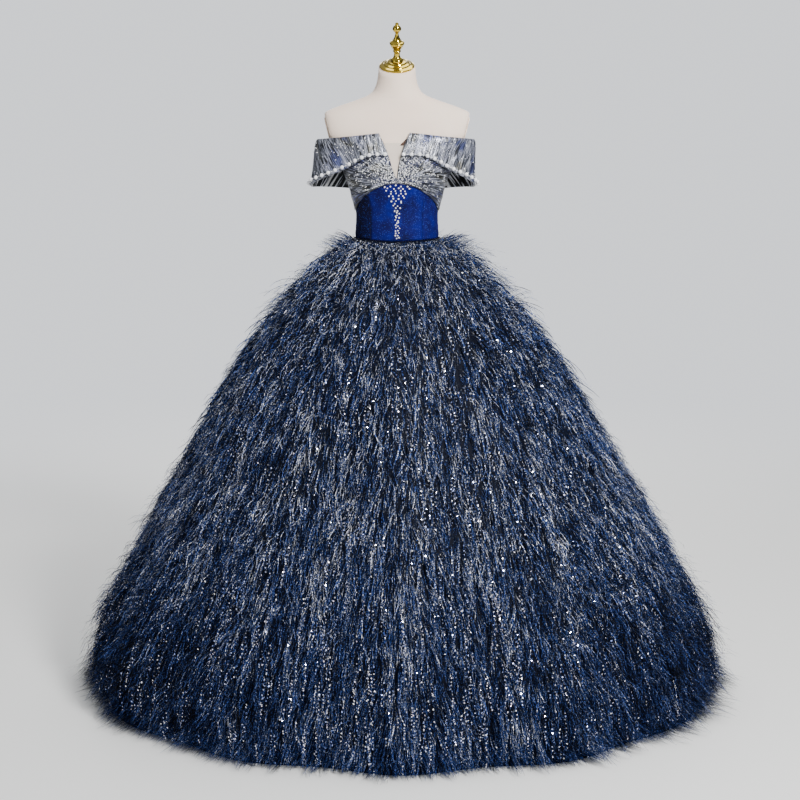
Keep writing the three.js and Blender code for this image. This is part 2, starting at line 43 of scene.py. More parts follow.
# The garment's construction, from which every layer of cloth is worked out.
waist = {"height": 1174, "dip": 6}
underbust = {"height": 1315, "drop": 72, "spread": 1.15, "tuck": 12}
seams = {"princess": 45, "sideBack": 105, "side": 95, "gap": 0.3}
layers = {"inset": (2.4, 3.4), "midriff": (1, 3), "bodice": (4, 6.2), "collar": 7.8}
bodiceTop = {"front": 1424, "side": 1362, "back": 1395}
drape = {"z": 1325, "pitch": 20, "height": 3.4, "knotStart": 18, "knotEnd": 60, "seamFade": 22}
inset = {"top": 1418, "bottom": 1330, "tuck": 9}
collar = {
    "top": {"front": 76, "back": 92, -1: 202, 1: 196},
    "bottom": {"front": 92, "back": 92, -1: 219, 1: 198},
    "power": 2.6, "topHeight": 1444, "topDrop": 18,
    "bottomHeight": 1387, "bottomDrop": 85, "backDrop": 12,
}
collarWall = [
    {"z": 0, "wall": 3}, {"z": 0.3, "wall": 3.6}, {"z": 0.6, "wall": 4.6},
    {"z": 0.85, "wall": 6}, {"z": 0.96, "wall": 5}, {"z": 1, "wall": 2.4},
]
notch = [  # how far the opening's two edges are from the middle
    {"z": 1331, "left": 3, "right": 0.3},
    {"z": 1356, "left": 12, "right": 3},
    {"z": 1384, "left": 20, "right": 9},
    {"z": 1418, "left": 32, "right": 20},
    {"z": 1444, "left": 41, "right": 30},
]
formColumns = ("z", "halfWidth", "front", "back", "power")
formSections = [dict(zip(formColumns, row)) for row in (
    (880, 165, 110, 115, 2.3),
    (935, 168, 110, 119, 2.3),
    (1000, 164, 104, 116, 2.3),
    (1060, 150, 96, 105, 2.3),
    (1120, 124, 87, 90, 2.2),
    (1172, 107, 79, 79, 2.2),
    (1231, 103, 77.5, 75, 2.2),
    (1275, 110, 84, 79, 2.2),
    (1310, 120, 91, 85, 2.2),
    (1350, 135, 96, 90, 2.2),
    (1390, 158, 94, 95, 2.3),
    (1430, 190, 85, 95, 2.4),
    (1460, 200, 76, 91, 2.4),
    (1480, 198, 68, 84, 2.3),
    (1495, 184, 60, 77, 2.2),
    (1510, 150, 55, 69, 2),
    (1525, 106, 52, 62, 1.9),
    (1537, 76, 50, 57, 2),
    (1550, 60, 49, 53, 2),
    (1578, 50, 47, 49, 2),
    (1610, 46.5, 46, 46, 2),
)]
bustShape = {"reach": 16, "apart": 78, "spread": 50, "z": 1350, "height": 48}
armPlate = {
    "x": 184.5, "z": 1482, "slope": 0.255, "halfDepth": 33, "halfHeight": 40, "middle": 1443, "thick": 3,
}
neck = {"slantStart": 1525, "top": 1610, "slant": 24}
skirtColumns = ("z", "halfWidth", "depth", "power", "fold")
skirtSections = [dict(zip(skirtColumns, row)) for row in (
    (0, 805, 770, 2, 18),
    (100, 798, 766, 2, 17),
    (200, 768, 742, 2, 16),
    (300, 721, 702, 2, 14),
    (400, 668, 656, 2, 12.5),
    (500, 617, 609, 2, 11),
    (600, 558, 555, 2, 10),
    (700, 504, 504, 2, 9),
    (800, 447, 447, 2, 8),
    (900, 383, 381, 2, 7),
    (1000, 306, 300, 2, 5),
    (1050, 260, 250, 2, 4),
    (1100, 212, 196, 2.05, 2.5),
    (1130, 178, 157, 2.1, 1.5),
    (1150, 148, 124, 2.15, 0.6),
    (1174, 110.5, 82.5, 2.2, 0),
)]
skirtFolds = {"count": 12, "least": 0.5, "sway": 20, "wall": 2.5}
skirtLevels = [1174, 1050, 900, 720, 530, 330, 0]  # the tiers of pile lie between these


def smooth(start, end, value):
    t = np.clip((value - start) / (end - start), 0, 1)
    return t * t * (3 - 2 * t)


def mix(a, b, t):
    return a + (b - a) * t


# A column of a table on a smooth curve that never overshoots the rows.
def readTable(table, column, at):
    places = np.array([row["z"] for row in table], float)
    values = np.array([row[column] for row in table], float)
    spans = np.diff(places)
    slopes = np.diff(values) / spans
    product = slopes[:-1] * slopes[1:]
    total = np.where(product > 0, slopes[:-1] + slopes[1:], 1)
    inner = np.where(product > 0, 2 * product / total, 0)
    tangents = np.concatenate([slopes[:1], inner, slopes[-1:]])
    at = np.clip(at, places[0], places[-1])
    i = np.clip(np.searchsorted(places, at, side="right") - 1, 0, len(spans) - 1)
    t = (at - places[i]) / spans[i]
    rise = values[i + 1] - values[i]
    bend = ((1 - t) * tangents[i] - t * tangents[i + 1]) * spans[i] + (2 * t - 1) * rise
    return values[i] + t * rise + t * (1 - t) * bend


def sectionRadius(turn, halfWidth, front, back, power):
    across = np.abs(np.sin(np.radians(turn))) / halfWidth
    along = np.cos(np.radians(turn))
    deep = np.abs(along) / np.where(along > 0, front, back)
    return (across**power + deep**power) ** (-1 / power)


def place(turn, radius, z):
    angle = np.radians(turn)
    return np.stack(np.broadcast_arrays(radius * np.sin(angle), -radius * np.cos(angle), z), -1)


# Half a seam's gap as a turn, on cloth that is this far from the axis.
def halfSeam(radius):
    return seams["gap"] / 2 / radius * 57.3


# How far a turn is from the front, whichever way it is counted.
def fromFront(turn):
    return np.abs((turn + 180) % 360 - 180)


def formRadius(turn, z):
    turn, z = np.broadcast_arrays(np.asarray(turn, float), np.asarray(z, float))
    sizes = [readTable(formSections, name, z) for name in formColumns[1:]]
    radius = sectionRadius(turn, *sizes)
    across = np.maximum(np.abs(np.sin(np.radians(turn))), 0.001)
    plate = (armPlate["x"] + (z - armPlate["z"]) * armPlate["slope"]) / across
    radius = (radius + plate - np.hypot(radius - plate, 3)) / 2
    ahead = np.clip(np.cos(np.radians(turn)), 0, None)
    side = (radius * across - bustShape["apart"]) / bustShape["spread"]
    up = (z - bustShape["z"]) / bustShape["height"]
    return radius + bustShape["reach"] * np.exp(-side**2 - up**2) * ahead**0.5


def waistZ(turn):
    return waist["height"] - waist["dip"] * np.clip(np.cos(np.radians(turn)), 0, None) ** 2


def underbustZ(turn):
    swing = np.minimum(90, underbust["spread"] * np.abs(turn))
    return underbust["height"] - underbust["drop"] * (1 - np.cos(np.radians(swing)))


def bodiceTopZ(turn):
    away = np.abs(turn)
    toSide = mix(bodiceTop["front"], bodiceTop["side"], smooth(35, 88, away))
    return mix(toSide, bodiceTop["back"], smooth(100, 165, away))


def collarTopZ(turn):
    return collar["topHeight"] - collar["topDrop"] * smooth(15, 95, np.abs(turn))


def collarBottomZ(turn):
    away = np.abs(turn)
    drop = collar["bottomDrop"] * smooth(25, 100, away) + collar["backDrop"] * smooth(100, 150, away)
    return collar["bottomHeight"] - drop


def notchTurn(sign, z, out):
    name = "right" if sign > 0 else "left"
    apart = np.where(z < notch[0]["z"], seams["gap"] / 2, readTable(notch, name, z))
    return sign * np.degrees(np.arcsin(apart / (formRadius(0, z) + out)))


def collarRadius(sign, turn, up, z):
    halfWidth = mix(collar["bottom"][sign], collar["top"][sign], up)
    front = mix(collar["bottom"]["front"], collar["top"]["front"], up)
    free = sectionRadius(turn, halfWidth, front, collar["top"]["back"], collar["power"])
    hug = formRadius(turn, z) + layers["collar"]
    return (free + hug + np.hypot(free - hug, 4)) / 2


def foldWave(turn):
    angle = np.radians(turn)
    wander = 9 * np.sin(2 * angle + 0.7) + 5 * np.sin(5 * angle + 2.1)
    size = mix(skirtFolds["least"], 1, 0.5 + 0.5 * np.sin(3 * angle + 1.3))
    return size * np.cos(np.radians(skirtFolds["count"] * turn + wander))


def skirtPoint(turn, level, out):
    halfWidth, depth, power, fold = (readTable(skirtSections, name, level) for name in skirtColumns[1:])
    radius = sectionRadius(turn, halfWidth, depth, depth, power) + fold * foldWave(turn) + out
    points = place(turn, radius, level / waist["height"] * waistZ(turn))
    points[..., 0] += skirtFolds["sway"] * (1 - level / waist["height"])
    return points


# Colours are sRGB hex, turned to linear here.
def colour(text):
    parts = [int(text[i:i + 2], 16) / 255 for i in (1, 3, 5)]
    return [c / 12.92 if c <= 0.04045 else ((c + 0.055) / 1.055) ** 2.4 for c in parts] + [1]


# Adds a node. An input is a value, a socket, or a node, which gives its first output.
def addNode(tree, kind, settings=None, inputs=None, stops=None):
    node = tree.nodes.new(kind)
    for name, value in (settings or {}).items():
        setattr(node, name, value)
    for key, value in (inputs or {}).items():
        socket = node.inputs[key] if isinstance(key, int) else next(
            s for s in node.inputs if s.enabled and s.name == key)
        if isinstance(value, bpy.types.Node):
            value = next(s for s in value.outputs if s.enabled)
        if isinstance(value, bpy.types.NodeSocket):
            tree.links.new(value, socket)
        else:
            socket.default_value = value
    if stops:
        elements = node.color_ramp.elements
        while len(elements) < len(stops):
            elements.new(1)
        for element, (at, shade) in zip(elements, stops):
            element.position = at
            element.color = colour(shade)
    return node


def maths(tree, operation, *values):
    return addNode(tree, "ShaderNodeMath", {"operation": operation}, dict(enumerate(values)))


def vectorMaths(tree, operation, *values):
    return addNode(tree, "ShaderNodeVectorMath", {"operation": operation}, dict(enumerate(values)))


def scaled(tree, vector, scale):
    return addNode(tree, "ShaderNodeVectorMath", {"operation": "SCALE"}, {0: vector, "Scale": scale})


def mapped(tree, value, source=(0.0, 1.0), target=(0.0, 1.0)):
    ends = {"From Min": source[0], "From Max": source[1], "To Min": target[0], "To Max": target[1]}
    return addNode(tree, "ShaderNodeMapRange", None, {"Value": value, **ends})


def ramp(tree, value, stops):
    return addNode(tree, "ShaderNodeValToRGB", None, {"Fac": value}, stops)


def noise(tree, where, scale, **others):
    return addNode(tree, "ShaderNodeTexNoise", None, {"Vector": where, "Scale": scale, **others})


def blended(tree, factor, a, b, **settings):
    return addNode(tree, "ShaderNodeMix", {"data_type": "RGBA", **settings},
                   {"Factor": factor, "A": a, "B": b})


def objectPlace(tree):
    return addNode(tree, "ShaderNodeTexCoord").outputs["Object"]


def cutPlace(tree):
    return addNode(tree, "ShaderNodeUVMap", {"uv_map": "cut"})


def meshField(tree, name):
    return addNode(tree, "ShaderNodeAttribute", {"attribute_name": name}).outputs["Fac"]


def field(tree, name, kind="FLOAT"):
    return addNode(tree, "GeometryNodeInputNamedAttribute", {"data_type": kind}, {"Name": name})


def stored(tree, geometry, name, value, kind="FLOAT"):
    return addNode(tree, "GeometryNodeStoreNamedAttribute", {"data_type": kind, "domain": "POINT"},
                   {"Geometry": geometry, "Name": name, "Value": value})


def byChance(tree, seed, least=None, most=None, kind="FLOAT"):
    given = {"Min": least, "Max": most, "Seed": seed}
    return addNode(tree, "FunctionNodeRandomValue", {"data_type": kind},
                   {name: value for name, value in given.items() if value is not None})


def feed(tree, node, shader, name, output=0):
    tree.links.new(node.outputs[output], shader.inputs[name])


def newMaterial(name, **values):
    made = bpy.data.materials.new(name)
    made.use_nodes = True
    shader = made.node_tree.nodes["Principled BSDF"]
    for key, value in values.items():
        title = "".join(" " + c if c.isupper() else c for c in key).title().replace(" I O R ", " IOR ")
        shader.inputs[title].default_value = colour(value) if isinstance(value, str) else value
    return made, made.node_tree, shader


def bumpFrom(tree, shader, height, strength, distance):
    bump = addNode(tree, "ShaderNodeBump", None,
                   {"Height": height, "Strength": strength, "Distance": distance * mm})
    feed(tree, bump, shader, "Normal")


def newObject(name, data):
    made = bpy.data.objects.new(name, data)
    bpy.context.collection.objects.link(made)
    return made


# A mesh from points in millimetres. faces holds rows of corner numbers.
def newPiece(name, points, faces, materials=(), worn=None, sharp=None, uv=None):
    mesh = bpy.data.meshes.new(name)
    mesh.from_pydata((np.reshape(points, (-1, 3)) * mm).tolist(), [], [list(face) for face in faces])
    for made in materials:
        mesh.materials.append(made)
    mesh.polygons.foreach_set("use_smooth", [True] * len(faces) if sharp is None else ~np.asarray(sharp))
    if worn is not None:
        mesh.polygons.foreach_set("material_index", worn)
    if uv is not None:
        corners = np.empty(len(mesh.loops), int)
        mesh.loops.foreach_get("vertex_index", corners)
        flat = np.reshape(uv, (-1, 2))[corners] * mm
        mesh.uv_layers.new(name="cut").uv.foreach_set("vector", flat.ravel())
    return newObject(name, mesh)


def seat(piece, nodes):
    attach(piece, "root")
    if nodes:
        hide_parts(*nodes)
    return piece


def gridFaces(rows, columns, start=0, wrap=False):
    number = start + np.arange(rows * columns).reshape(rows, columns)
    if wrap:
        number = np.concatenate([number, number[:, :1]], 1)
    corners = number[:-1, :-1], number[:-1, 1:], number[1:, 1:], number[1:, :-1]
    return np.stack(corners, -1).reshape(-1, 4)


# Triangles that close a tube's two ends. Its last ring starts at last, its ends' middles at centre.
def endFaces(count, last, centre):
    faces = []
    for i in range(count):
        j = (i + 1) % count
        faces += [[j, i, centre], [last + i, last + j, centre + 1]]
    return faces


# A closed shell of cloth from its outer and inner faces, as grids of rows upwards and columns towards +turn.
def clothShell(name, outer, inner, materials, uv):
    rows, columns = outer.shape[:2]
    front = gridFaces(rows, columns)
    count = rows * columns
    number = np.arange(count).reshape(rows, columns)
    loop = np.concatenate([number[0, :-1], number[:-1, -1], number[-1, :0:-1], number[:0:-1, 0]])
    after = np.roll(loop, -1)
    edge = np.stack([loop + count, after + count, after, loop], 1)
    faces = np.concatenate([front, front[:, ::-1] + count, edge])
    worn = np.repeat([0, len(materials) - 1, 0], [len(front), len(front), len(edge)])
    sharp = np.repeat([False, False, True], [len(front), len(front), len(edge)])
    points = np.stack([outer, inner])
    return newPiece(name, points, faces.tolist(), materials, worn, sharp, np.stack([uv, uv]))


# Lengths over a grid of points, along its rows and up its columns, from its middle column and lowest row.
def flatLengths(points):
    across = np.linalg.norm(np.diff(points, axis=1), axis=2)
    across = np.concatenate([np.zeros((len(points), 1)), np.cumsum(across, 1)], 1)
    across -= across[:, points.shape[1] // 2][:, None]
    up = np.linalg.norm(np.diff(points, axis=0), axis=2)
    up = np.concatenate([np.zeros((1, points.shape[1])), np.cumsum(up, 0)])
    return np.stack([across, up], -1)


# 1 away from a panel's sewn edges, falling to 0 at them.
def seamPuff(lengths, width=3.5):
    across, up = lengths[..., 0], lengths[..., 1]
    aside = np.minimum(across - across.min(1, keepdims=True), across.max(1, keepdims=True) - across)
    end = np.minimum(up, up.max(0, keepdims=True) - up)
    return smooth(-0.5, width, np.minimum(aside, end))


# Turned work: a profile of radius and rise, spun round Z, then moved by a matrix.
def turnedPiece(name, profile, made, sides=64, move=None):
    radius, rise = np.array(profile, float).T
    turns = np.arange(sides) * 360 / sides
    rings = place(turns[None, :], radius[1:-1, None], rise[1:-1, None])
    points = np.concatenate([rings.reshape(-1, 3), [[0, 0, rise[0]], [0, 0, rise[-1]]]])
    if move is not None:
        points = points @ np.array(move.to_3x3()).T + np.array(move.translation)
    body = gridFaces(len(radius) - 2, sides, 0, True).tolist()
    body += endFaces(sides, len(points) - 2 - sides, len(points) - 2)
    return newPiece(name, points, body, [made])


# Takes the corners off a profile with short arcs.
def eased(profile, cut):
    profile = np.array(profile, float)
    points = [profile[0]]
    for before, corner, after in zip(profile, profile[1:], profile[2:]):
        toBefore, toAfter = before - corner, after - corner
        reach = min(cut, np.linalg.norm(toBefore) * 0.45, np.linalg.norm(toAfter) * 0.45)
        start = corner + toBefore / np.linalg.norm(toBefore) * reach
        end = corner + toAfter / np.linalg.norm(toAfter) * reach
        for t in (0, 0.33, 0.67, 1):
            points.append((1 - t) ** 2 * start + 2 * t * (1 - t) * corner + t * t * end)
    return np.array(points + [profile[-1]])


# A smooth curve through a profile's points.
def flowing(profile, steps=5):
    profile = np.array(profile, float)
    padded = np.concatenate([profile[:1], profile, profile[-1:]])
    points = []
    for a, b, c, d in zip(padded, padded[1:], padded[2:], padded[3:]):
        for t in np.arange(steps) / steps:
            points.append(0.5 * (2 * b + (c - a) * t + (2 * a - 5 * b + 4 * c - d) * t**2
                                 + (3 * b - a - 3 * c + d) * t**3))
    return np.array(points + [profile[-1]])


# A node group with a geometry input and named sizes, and the node that gives them.
def newTree(name, sizes):
    tree = bpy.data.node_groups.new(name, "GeometryNodeTree")
    tree.interface.new_socket("Geometry", in_out="INPUT", socket_type="NodeSocketGeometry")
    tree.interface.new_socket("Geometry", in_out="OUTPUT", socket_type="NodeSocketGeometry")
    for label, value in sizes.items():
        kind = {float: "Float", int: "Int", type(None): "Material"}[type(value)]
        socket = tree.interface.new_socket(label, in_out="INPUT", socket_type="NodeSocket" + kind)
        if value is not None:
            socket.default_value = value
    return tree, addNode(tree, "NodeGroupInput").outputs


# Realizes what a tree grew, gives it its material and ends the tree.
def endTree(tree, instances, made, change=None):
    solid = addNode(tree, "GeometryNodeRealizeInstances", None, {"Geometry": instances})
    solid = change(solid) if change else solid
    dressed = addNode(tree, "GeometryNodeSetMaterial", None, {"Geometry": solid, "Material": made})
    addNode(tree, "NodeGroupOutput", None, {"Geometry": dressed})


# Runs a tree on a base mesh and keeps the result as a plain mesh.
def grow(name, base, tree, values):
    modifier = base.modifiers.new(name, "NODES")
    modifier.node_group = tree
    for item in tree.interface.items_tree:
        if item.in_out == "INPUT" and item.name in values:
            modifier[item.identifier] = values[item.name]
    graph = bpy.context.evaluated_depsgraph_get()
    mesh = bpy.data.meshes.new_from_object(base.evaluated_get(graph), preserve_all_data_layers=True,
                                           depsgraph=graph)
    mesh.name = name
    bpy.data.objects.remove(base)
    return newObject(name, mesh)


# A base mesh that carries fields, one value or vector for each point.
def baseMesh(name, points, faces, fields):
    base = newPiece(name, points, faces)
    for label, values in fields.items():
        values = np.asarray(values, float)
        isVector = values.shape[-1] == 3 and values.ndim > 1 and values.size == np.size(points)
        kind = "FLOAT_VECTOR" if isVector else "FLOAT"
        carried = base.data.attributes.new(label, kind, "POINT")
        carried.data.foreach_set("vector" if isVector else "value", values.ravel())
    return base


# Materials. Cotton jersey over a moulded form: matt, soft at the edges, with fine knitted wales.
def cottonJersey():
    made, tree, shader = newMaterial("ivory cotton jersey", roughness=0.82, sheenWeight=0.25,
                                     sheenRoughness=0.5)
    place3d = objectPlace(tree)
    cloud = noise(tree, place3d, 9.0, Detail=3.0)
    tint = ramp(tree, cloud, [(0.3, "#f6dfcc"), (0.7, "#fbe8d6")])
    feed(tree, tint, shader, "Base Color")
    walePitch = 1.6  # twice the real pitch, so that it shows
    wales = addNode(tree, "ShaderNodeTexWave", {"bands_direction": "Z"},
                    {"Vector": place3d, "Scale": 0.314 / (walePitch * mm), "Distortion": 1.5, "Detail": 2.0})
    bumpFrom(tree, shader, wales, 0.12, 0.3)
    return made


# Spun brass with a clear gilt lacquer: mirror bright, with faint turning lines.
def giltBrass():
    made, tree, shader = newMaterial("gilt lacquered brass", baseColor="#cdb03c", metallic=1.0,
                                     roughness=0.12, coatWeight=0.4, coatRoughness=0.05)
    place3d = objectPlace(tree)
    lines = noise(tree, place3d, 120.0, Detail=2.0)
    wear = mapped(tree, lines, target=(0.06, 0.16))
    feed(tree, wear, shader, "Roughness")
    return made


# Powder-coated steel: dark, slightly rough, with a fine orange peel.
def coatedSteel():
    made, tree, shader = newMaterial("black powder-coated steel", baseColor="#1d1e21", roughness=0.45)
    place3d = objectPlace(tree)
    peel = noise(tree, place3d, 700.0, Detail=1.0)
    bumpFrom(tree, shader, peel, 0.2, 0.2)
    return made


# Silk velvet with a foil glitter print: deep and dark, with tiny sparks, and darker where its nap runs up,
# where the darker shades also hold painted shade.
def glitterVelvet(name, shades):
    made, tree, shader = newMaterial(name, roughness=0.8, sheenWeight=0.06, sheenRoughness=0.3,
                                     sheenTint="#3358ff", specularIORLevel=0.15)
    place3d = objectPlace(tree)
    brushed = noise(tree, place3d, 28.0, Detail=4.0)
    nap = ramp(tree, brushed, list(zip((0.3, 0.5, 0.75), shades)))
    grain = 2.0  # millimetres between sparks
    cells = addNode(tree, "ShaderNodeTexVoronoi", None, {"Vector": place3d, "Scale": 1 / (grain * mm)})
    pick = addNode(tree, "ShaderNodeSeparateColor", None, {"Color": cells.outputs["Color"]})
    chosen = maths(tree, "GREATER_THAN", pick, 0.78)
    near = maths(tree, "LESS_THAN", cells.outputs["Distance"], 0.34)
    spark = maths(tree, "MULTIPLY", chosen, near)
    lit = blended(tree, spark, nap, colour("#3048a8"))
    feed(tree, lit, shader, "Base Color", 2)
    bumpFrom(tree, shader, brushed, 0.3, 1)
    return made


# Lame jacquard: metallic weft floats in long streaks over a dark warp, with coloured silk in places.
def lameJacquard(name, shades, dyes):
    made, tree, shader = newMaterial(name, roughness=0.38, anisotropic=0.4)
    cut = cutPlace(tree)
    streakWidth, streakLength = 1.6, 26
    stretched = addNode(tree, "ShaderNodeMapping", None,
                        {"Vector": cut, "Scale": (1 / (streakWidth * mm), 1 / (streakLength * mm), 1)})
    streaks = noise(tree, stretched, 0.8, Detail=3.0, Roughness=0.6, Distortion=0.6)
    silver = ramp(tree, streaks, list(zip((0.38, 0.44, 0.48, 0.54, 0.60, 0.68), shades)))
    patchy = addNode(tree, "ShaderNodeMapping", None, {"Vector": cut, "Scale": (26, 12, 1)})
    patches = noise(tree, patchy, 1.0, Detail=2.0)
    tinted = ramp(tree, patches, dyes)
    woven = blended(tree, 0.9, silver, tinted, blend_type="MULTIPLY")
    feed(tree, woven, shader, "Base Color", 2)
    shine = mapped(tree, streaks, (0.4, 0.6), (0.1, 0.5))
    feed(tree, shine, shader, "Metallic")
    bumpFrom(tree, shader, streaks, 0.5, 1.2)
    return made


# The jacquard's wrong side: black floats with loose silver threads that run aslant.
def jacquardBack():
    made, tree, shader = newMaterial("jacquard wrong side", roughness=0.5)
    cut = cutPlace(tree)
    stretched = addNode(tree, "ShaderNodeMapping", None,
                        {"Vector": cut, "Rotation": (0, 0, 0.12), "Scale": (210, 13, 1)})
    threads = noise(tree, stretched, 1.0, Detail=2.0)
    shade = ramp(tree, threads, [(0.46, "#050609"), (0.52, "#22252f"), (0.56, "#d6d9e4"), (0.62, "#ffffff")])
    feed(tree, shade, shader, "Base Color")
    bumpFrom(tree, shader, threads, 0.4, 0.8)
    return made


# Nylon mesh over a skin-tone backing: matt, even, with the faint grid of its net.
def sheerMesh():
    made, tree, shader = newMaterial("beige nylon mesh", baseColor="#dccdbd", roughness=0.6, sheenWeight=0.15)
    cut = cutPlace(tree)
    holePitch = 2.4  # coarser than the real net, so that it shows
    holes = addNode(tree, "ShaderNodeTexVoronoi", {"distance": "CHEBYCHEV"},
                    {"Vector": cut, "Scale": 1 / (holePitch * mm), "Randomness": 0.0})
    shade = ramp(tree, holes, [(0.1, "#c9b6a4"), (0.4, "#e0d3c5")])
    feed(tree, shade, shader, "Base Color")
    bumpFrom(tree, shader, holes, 0.3, 0.3)
    return made


# Crepe satin that carries the pile: near black navy with a soft gleam.
def crepeSatin():
    made, tree, shader = newMaterial("navy crepe satin", baseColor="#060a18", roughness=0.7,
                                     specularIORLevel=0.1)
    cut = cutPlace(tree)
    ribs = addNode(tree, "ShaderNodeTexWave", None,
                   {"Vector": cut, "Scale": 0.314 / (3 * mm), "Distortion": 3.0})
    bumpFrom(tree, shader, ribs, 0.3, 0.4)
    return made


# Eyelash yarn: fine slips of dyed film and lurex, each about one colour with darker and brighter specks, the
# brighter ones also painted glints. Each slip is painted darker at the root for the shade of the slips above,
# and brighter to the tip. At the waist, where no slips lie over the roots, that painted root shade is taken
# off.
def eyelashYarn():
    made, tree, shader = newMaterial("eyelash yarn", roughness=0.5, specularIORLevel=0.06)
    tone, along, bare = (meshField(tree, name) for name in ("tone", "along", "bare"))
    place3d = objectPlace(tree)
    # Specks shift the tone darker and brighter along each slip; the bright ones are partly painted glints.
    speckPitch = 3.4
    specks = noise(tree, place3d, 1 / (speckPitch * mm), Detail=0.0)
    specks = mapped(tree, specks, (0.3, 0.7), (-0.36, 0.36))
    mottled = maths(tree, "ADD", tone, specks)
    dye = ramp(tree, mottled, [
        (0.10, "#04060b"), (0.23, "#0f1b3e"), (0.37, "#20356c"), (0.52, "#38529a"), (0.63, "#506898"),
        (0.71, "#6c7890"), (0.79, "#929498"), (0.87, "#bcc2d0"), (0.94, "#f6f7ff")])
    # Painted shade at the root, where the slips above would shade it; bare takes it off near the waist.
    depth = mapped(tree, along, (0.0, 0.6), (0.1, 1.0))
    depth = maths(tree, "MAXIMUM", depth, bare)
    shaded = blended(tree, depth, colour("#020409"), dye)
    feed(tree, shaded, shader, "Base Color", 2)
    gleam = mapped(tree, tone, (0.4, 0.8), (0.05, 0.4))
    feed(tree, gleam, shader, "Metallic")
    return made


# Flat metallised PET sequins: small mirrors, bright only where they catch the lamp.
def sequinFilm():
    made, tree, shader = newMaterial("metallised sequins", metallic=1.0, roughness=0.25)
    tone = meshField(tree, "tone")
    tint = ramp(tree, tone, [(0.0, "#8ea2e0"), (0.35, "#d5deff"), (0.6, "#ffffff"), (1.0, "#f0e8ff")])
    feed(tree, tint, shader, "Base Color")
    return made


# Glass pearls: white nacre lacquer, glossy under a clear coat, faintly clouded.
def nacre():
    made, tree, shader = newMaterial("white glass pearl", roughness=0.3, coatWeight=0.6, coatRoughness=0.08)
    place3d = objectPlace(tree)
    cloud = noise(tree, place3d, 180.0)
    tint = ramp(tree, cloud, [(0.35, "#f2f3fb"), (0.6, "#ffffff")])
    feed(tree, tint, shader, "Base Color")
    return made


# Foiled glass crystals: each one clear, grey or black, with hard bright facets.
def cutCrystal():
    made, tree, shader = newMaterial("foiled glass crystal", roughness=0.12, coatWeight=1.0)
    tone = meshField(tree, "tone")
    tint = ramp(tree, tone, [
        (0.46, "#06070b"), (0.54, "#3c404c"), (0.62, "#f4f6ff"), (0.9, "#ffffff")])
    feed(tree, tint, shader, "Base Color")
    return made


# Brown rayon tape, finely ribbed across.
def rayonTape():
    made, tree, shader = newMaterial("brown rayon tape", baseColor="#4a3226", roughness=0.7)
    cut = cutPlace(tree)
    ribs = addNode(tree, "ShaderNodeTexWave", None, {"Vector": cut, "Scale": 0.314 / (1.5 * mm)})
    bumpFrom(tree, shader, ribs, 0.3, 0.2)
    return made


jersey, brass, steel = cottonJersey(), giltBrass(), coatedSteel()
velvet = glitterVelvet("blue glitter velvet", ("#040436", "#07084e", "#0c0f70"))
# The darker copy: partly its nap running up, partly painted shade.
velvetNapUpAndPaintedShade = glitterVelvet("blue glitter velvet, nap up and painted shade", ("#01011c", "#010225", "#020534"))
jacquard = lameJacquard(
    "silver lame jacquard",
    ("#060709", "#252832", "#656973", "#858994", "#d8dae4", "#757b8d"),
    [(0.32, "#22368c"), (0.37, "#7480bc"), (0.41, "#ececf8"), (0.58, "#f0f0f0"), (0.63, "#b9b192"),
     (0.68, "#7a82aa")])
darkJacquard = lameJacquard(
    "dark lame jacquard",
    ("#020304", "#0d0f13", "#383b44", "#646874", "#c4c7d1", "#4a5064"),
    [(0.35, "#14246c"), (0.40, "#6470b4"), (0.44, "#ececfa"), (0.56, "#f4f4f4"), (0.61, "#bdb593"),
     (0.66, "#7a72aa")])
wrongSide = jacquardBack()
net, satin, yarn = sheerMesh(), crepeSatin(), eyelashYarn()
sequin, pearl, crystal, tape = sequinFilm(), nacre(), cutCrystal(), rayonTape()
print("materials made")


# Dress form.
formGrid = {
    "rows": 3,  # between two of these rings
    "rings": [880, 905, 960, 1030, 1090, 1135, 1165, 1186, 1206, 1226, 1246, 1264, 1282, 1299, 1316, 1334,
              1352, 1370, 1394, 1425, 1460, 1484, 1496, 1508, 1522, 1534, 1546, 1568, 1610],
    "stations": 144,
    "neckSeam": {"z": 1549, "dip": 20, "width": 1.6, "depth": 0.7},
}
capProfile = [(0, 0), (44, 0), (45.5, 3), (41, 5.5), (34.5, 6.5), (33, 9.5), (26, 11), (23.5, 15), (0, 15)]
finialProfile = [
    (0, 15.3), (16, 15.3), (14.5, 21), (8.5, 27.5), (8, 38), (10.5, 42.5), (9.5, 46), (15, 55), (19, 65),
    (12.5, 70), (7, 79), (4.6, 90), (10, 98), (11, 103.5), (7.5, 110), (4.2, 113), (5.2, 116), (0, 120),
]
stand = {"baseRadius": 170, "edge": 9, "dome": 18, "hub": 40, "pole": 16, "socket": 26, "socketHeight": 45}


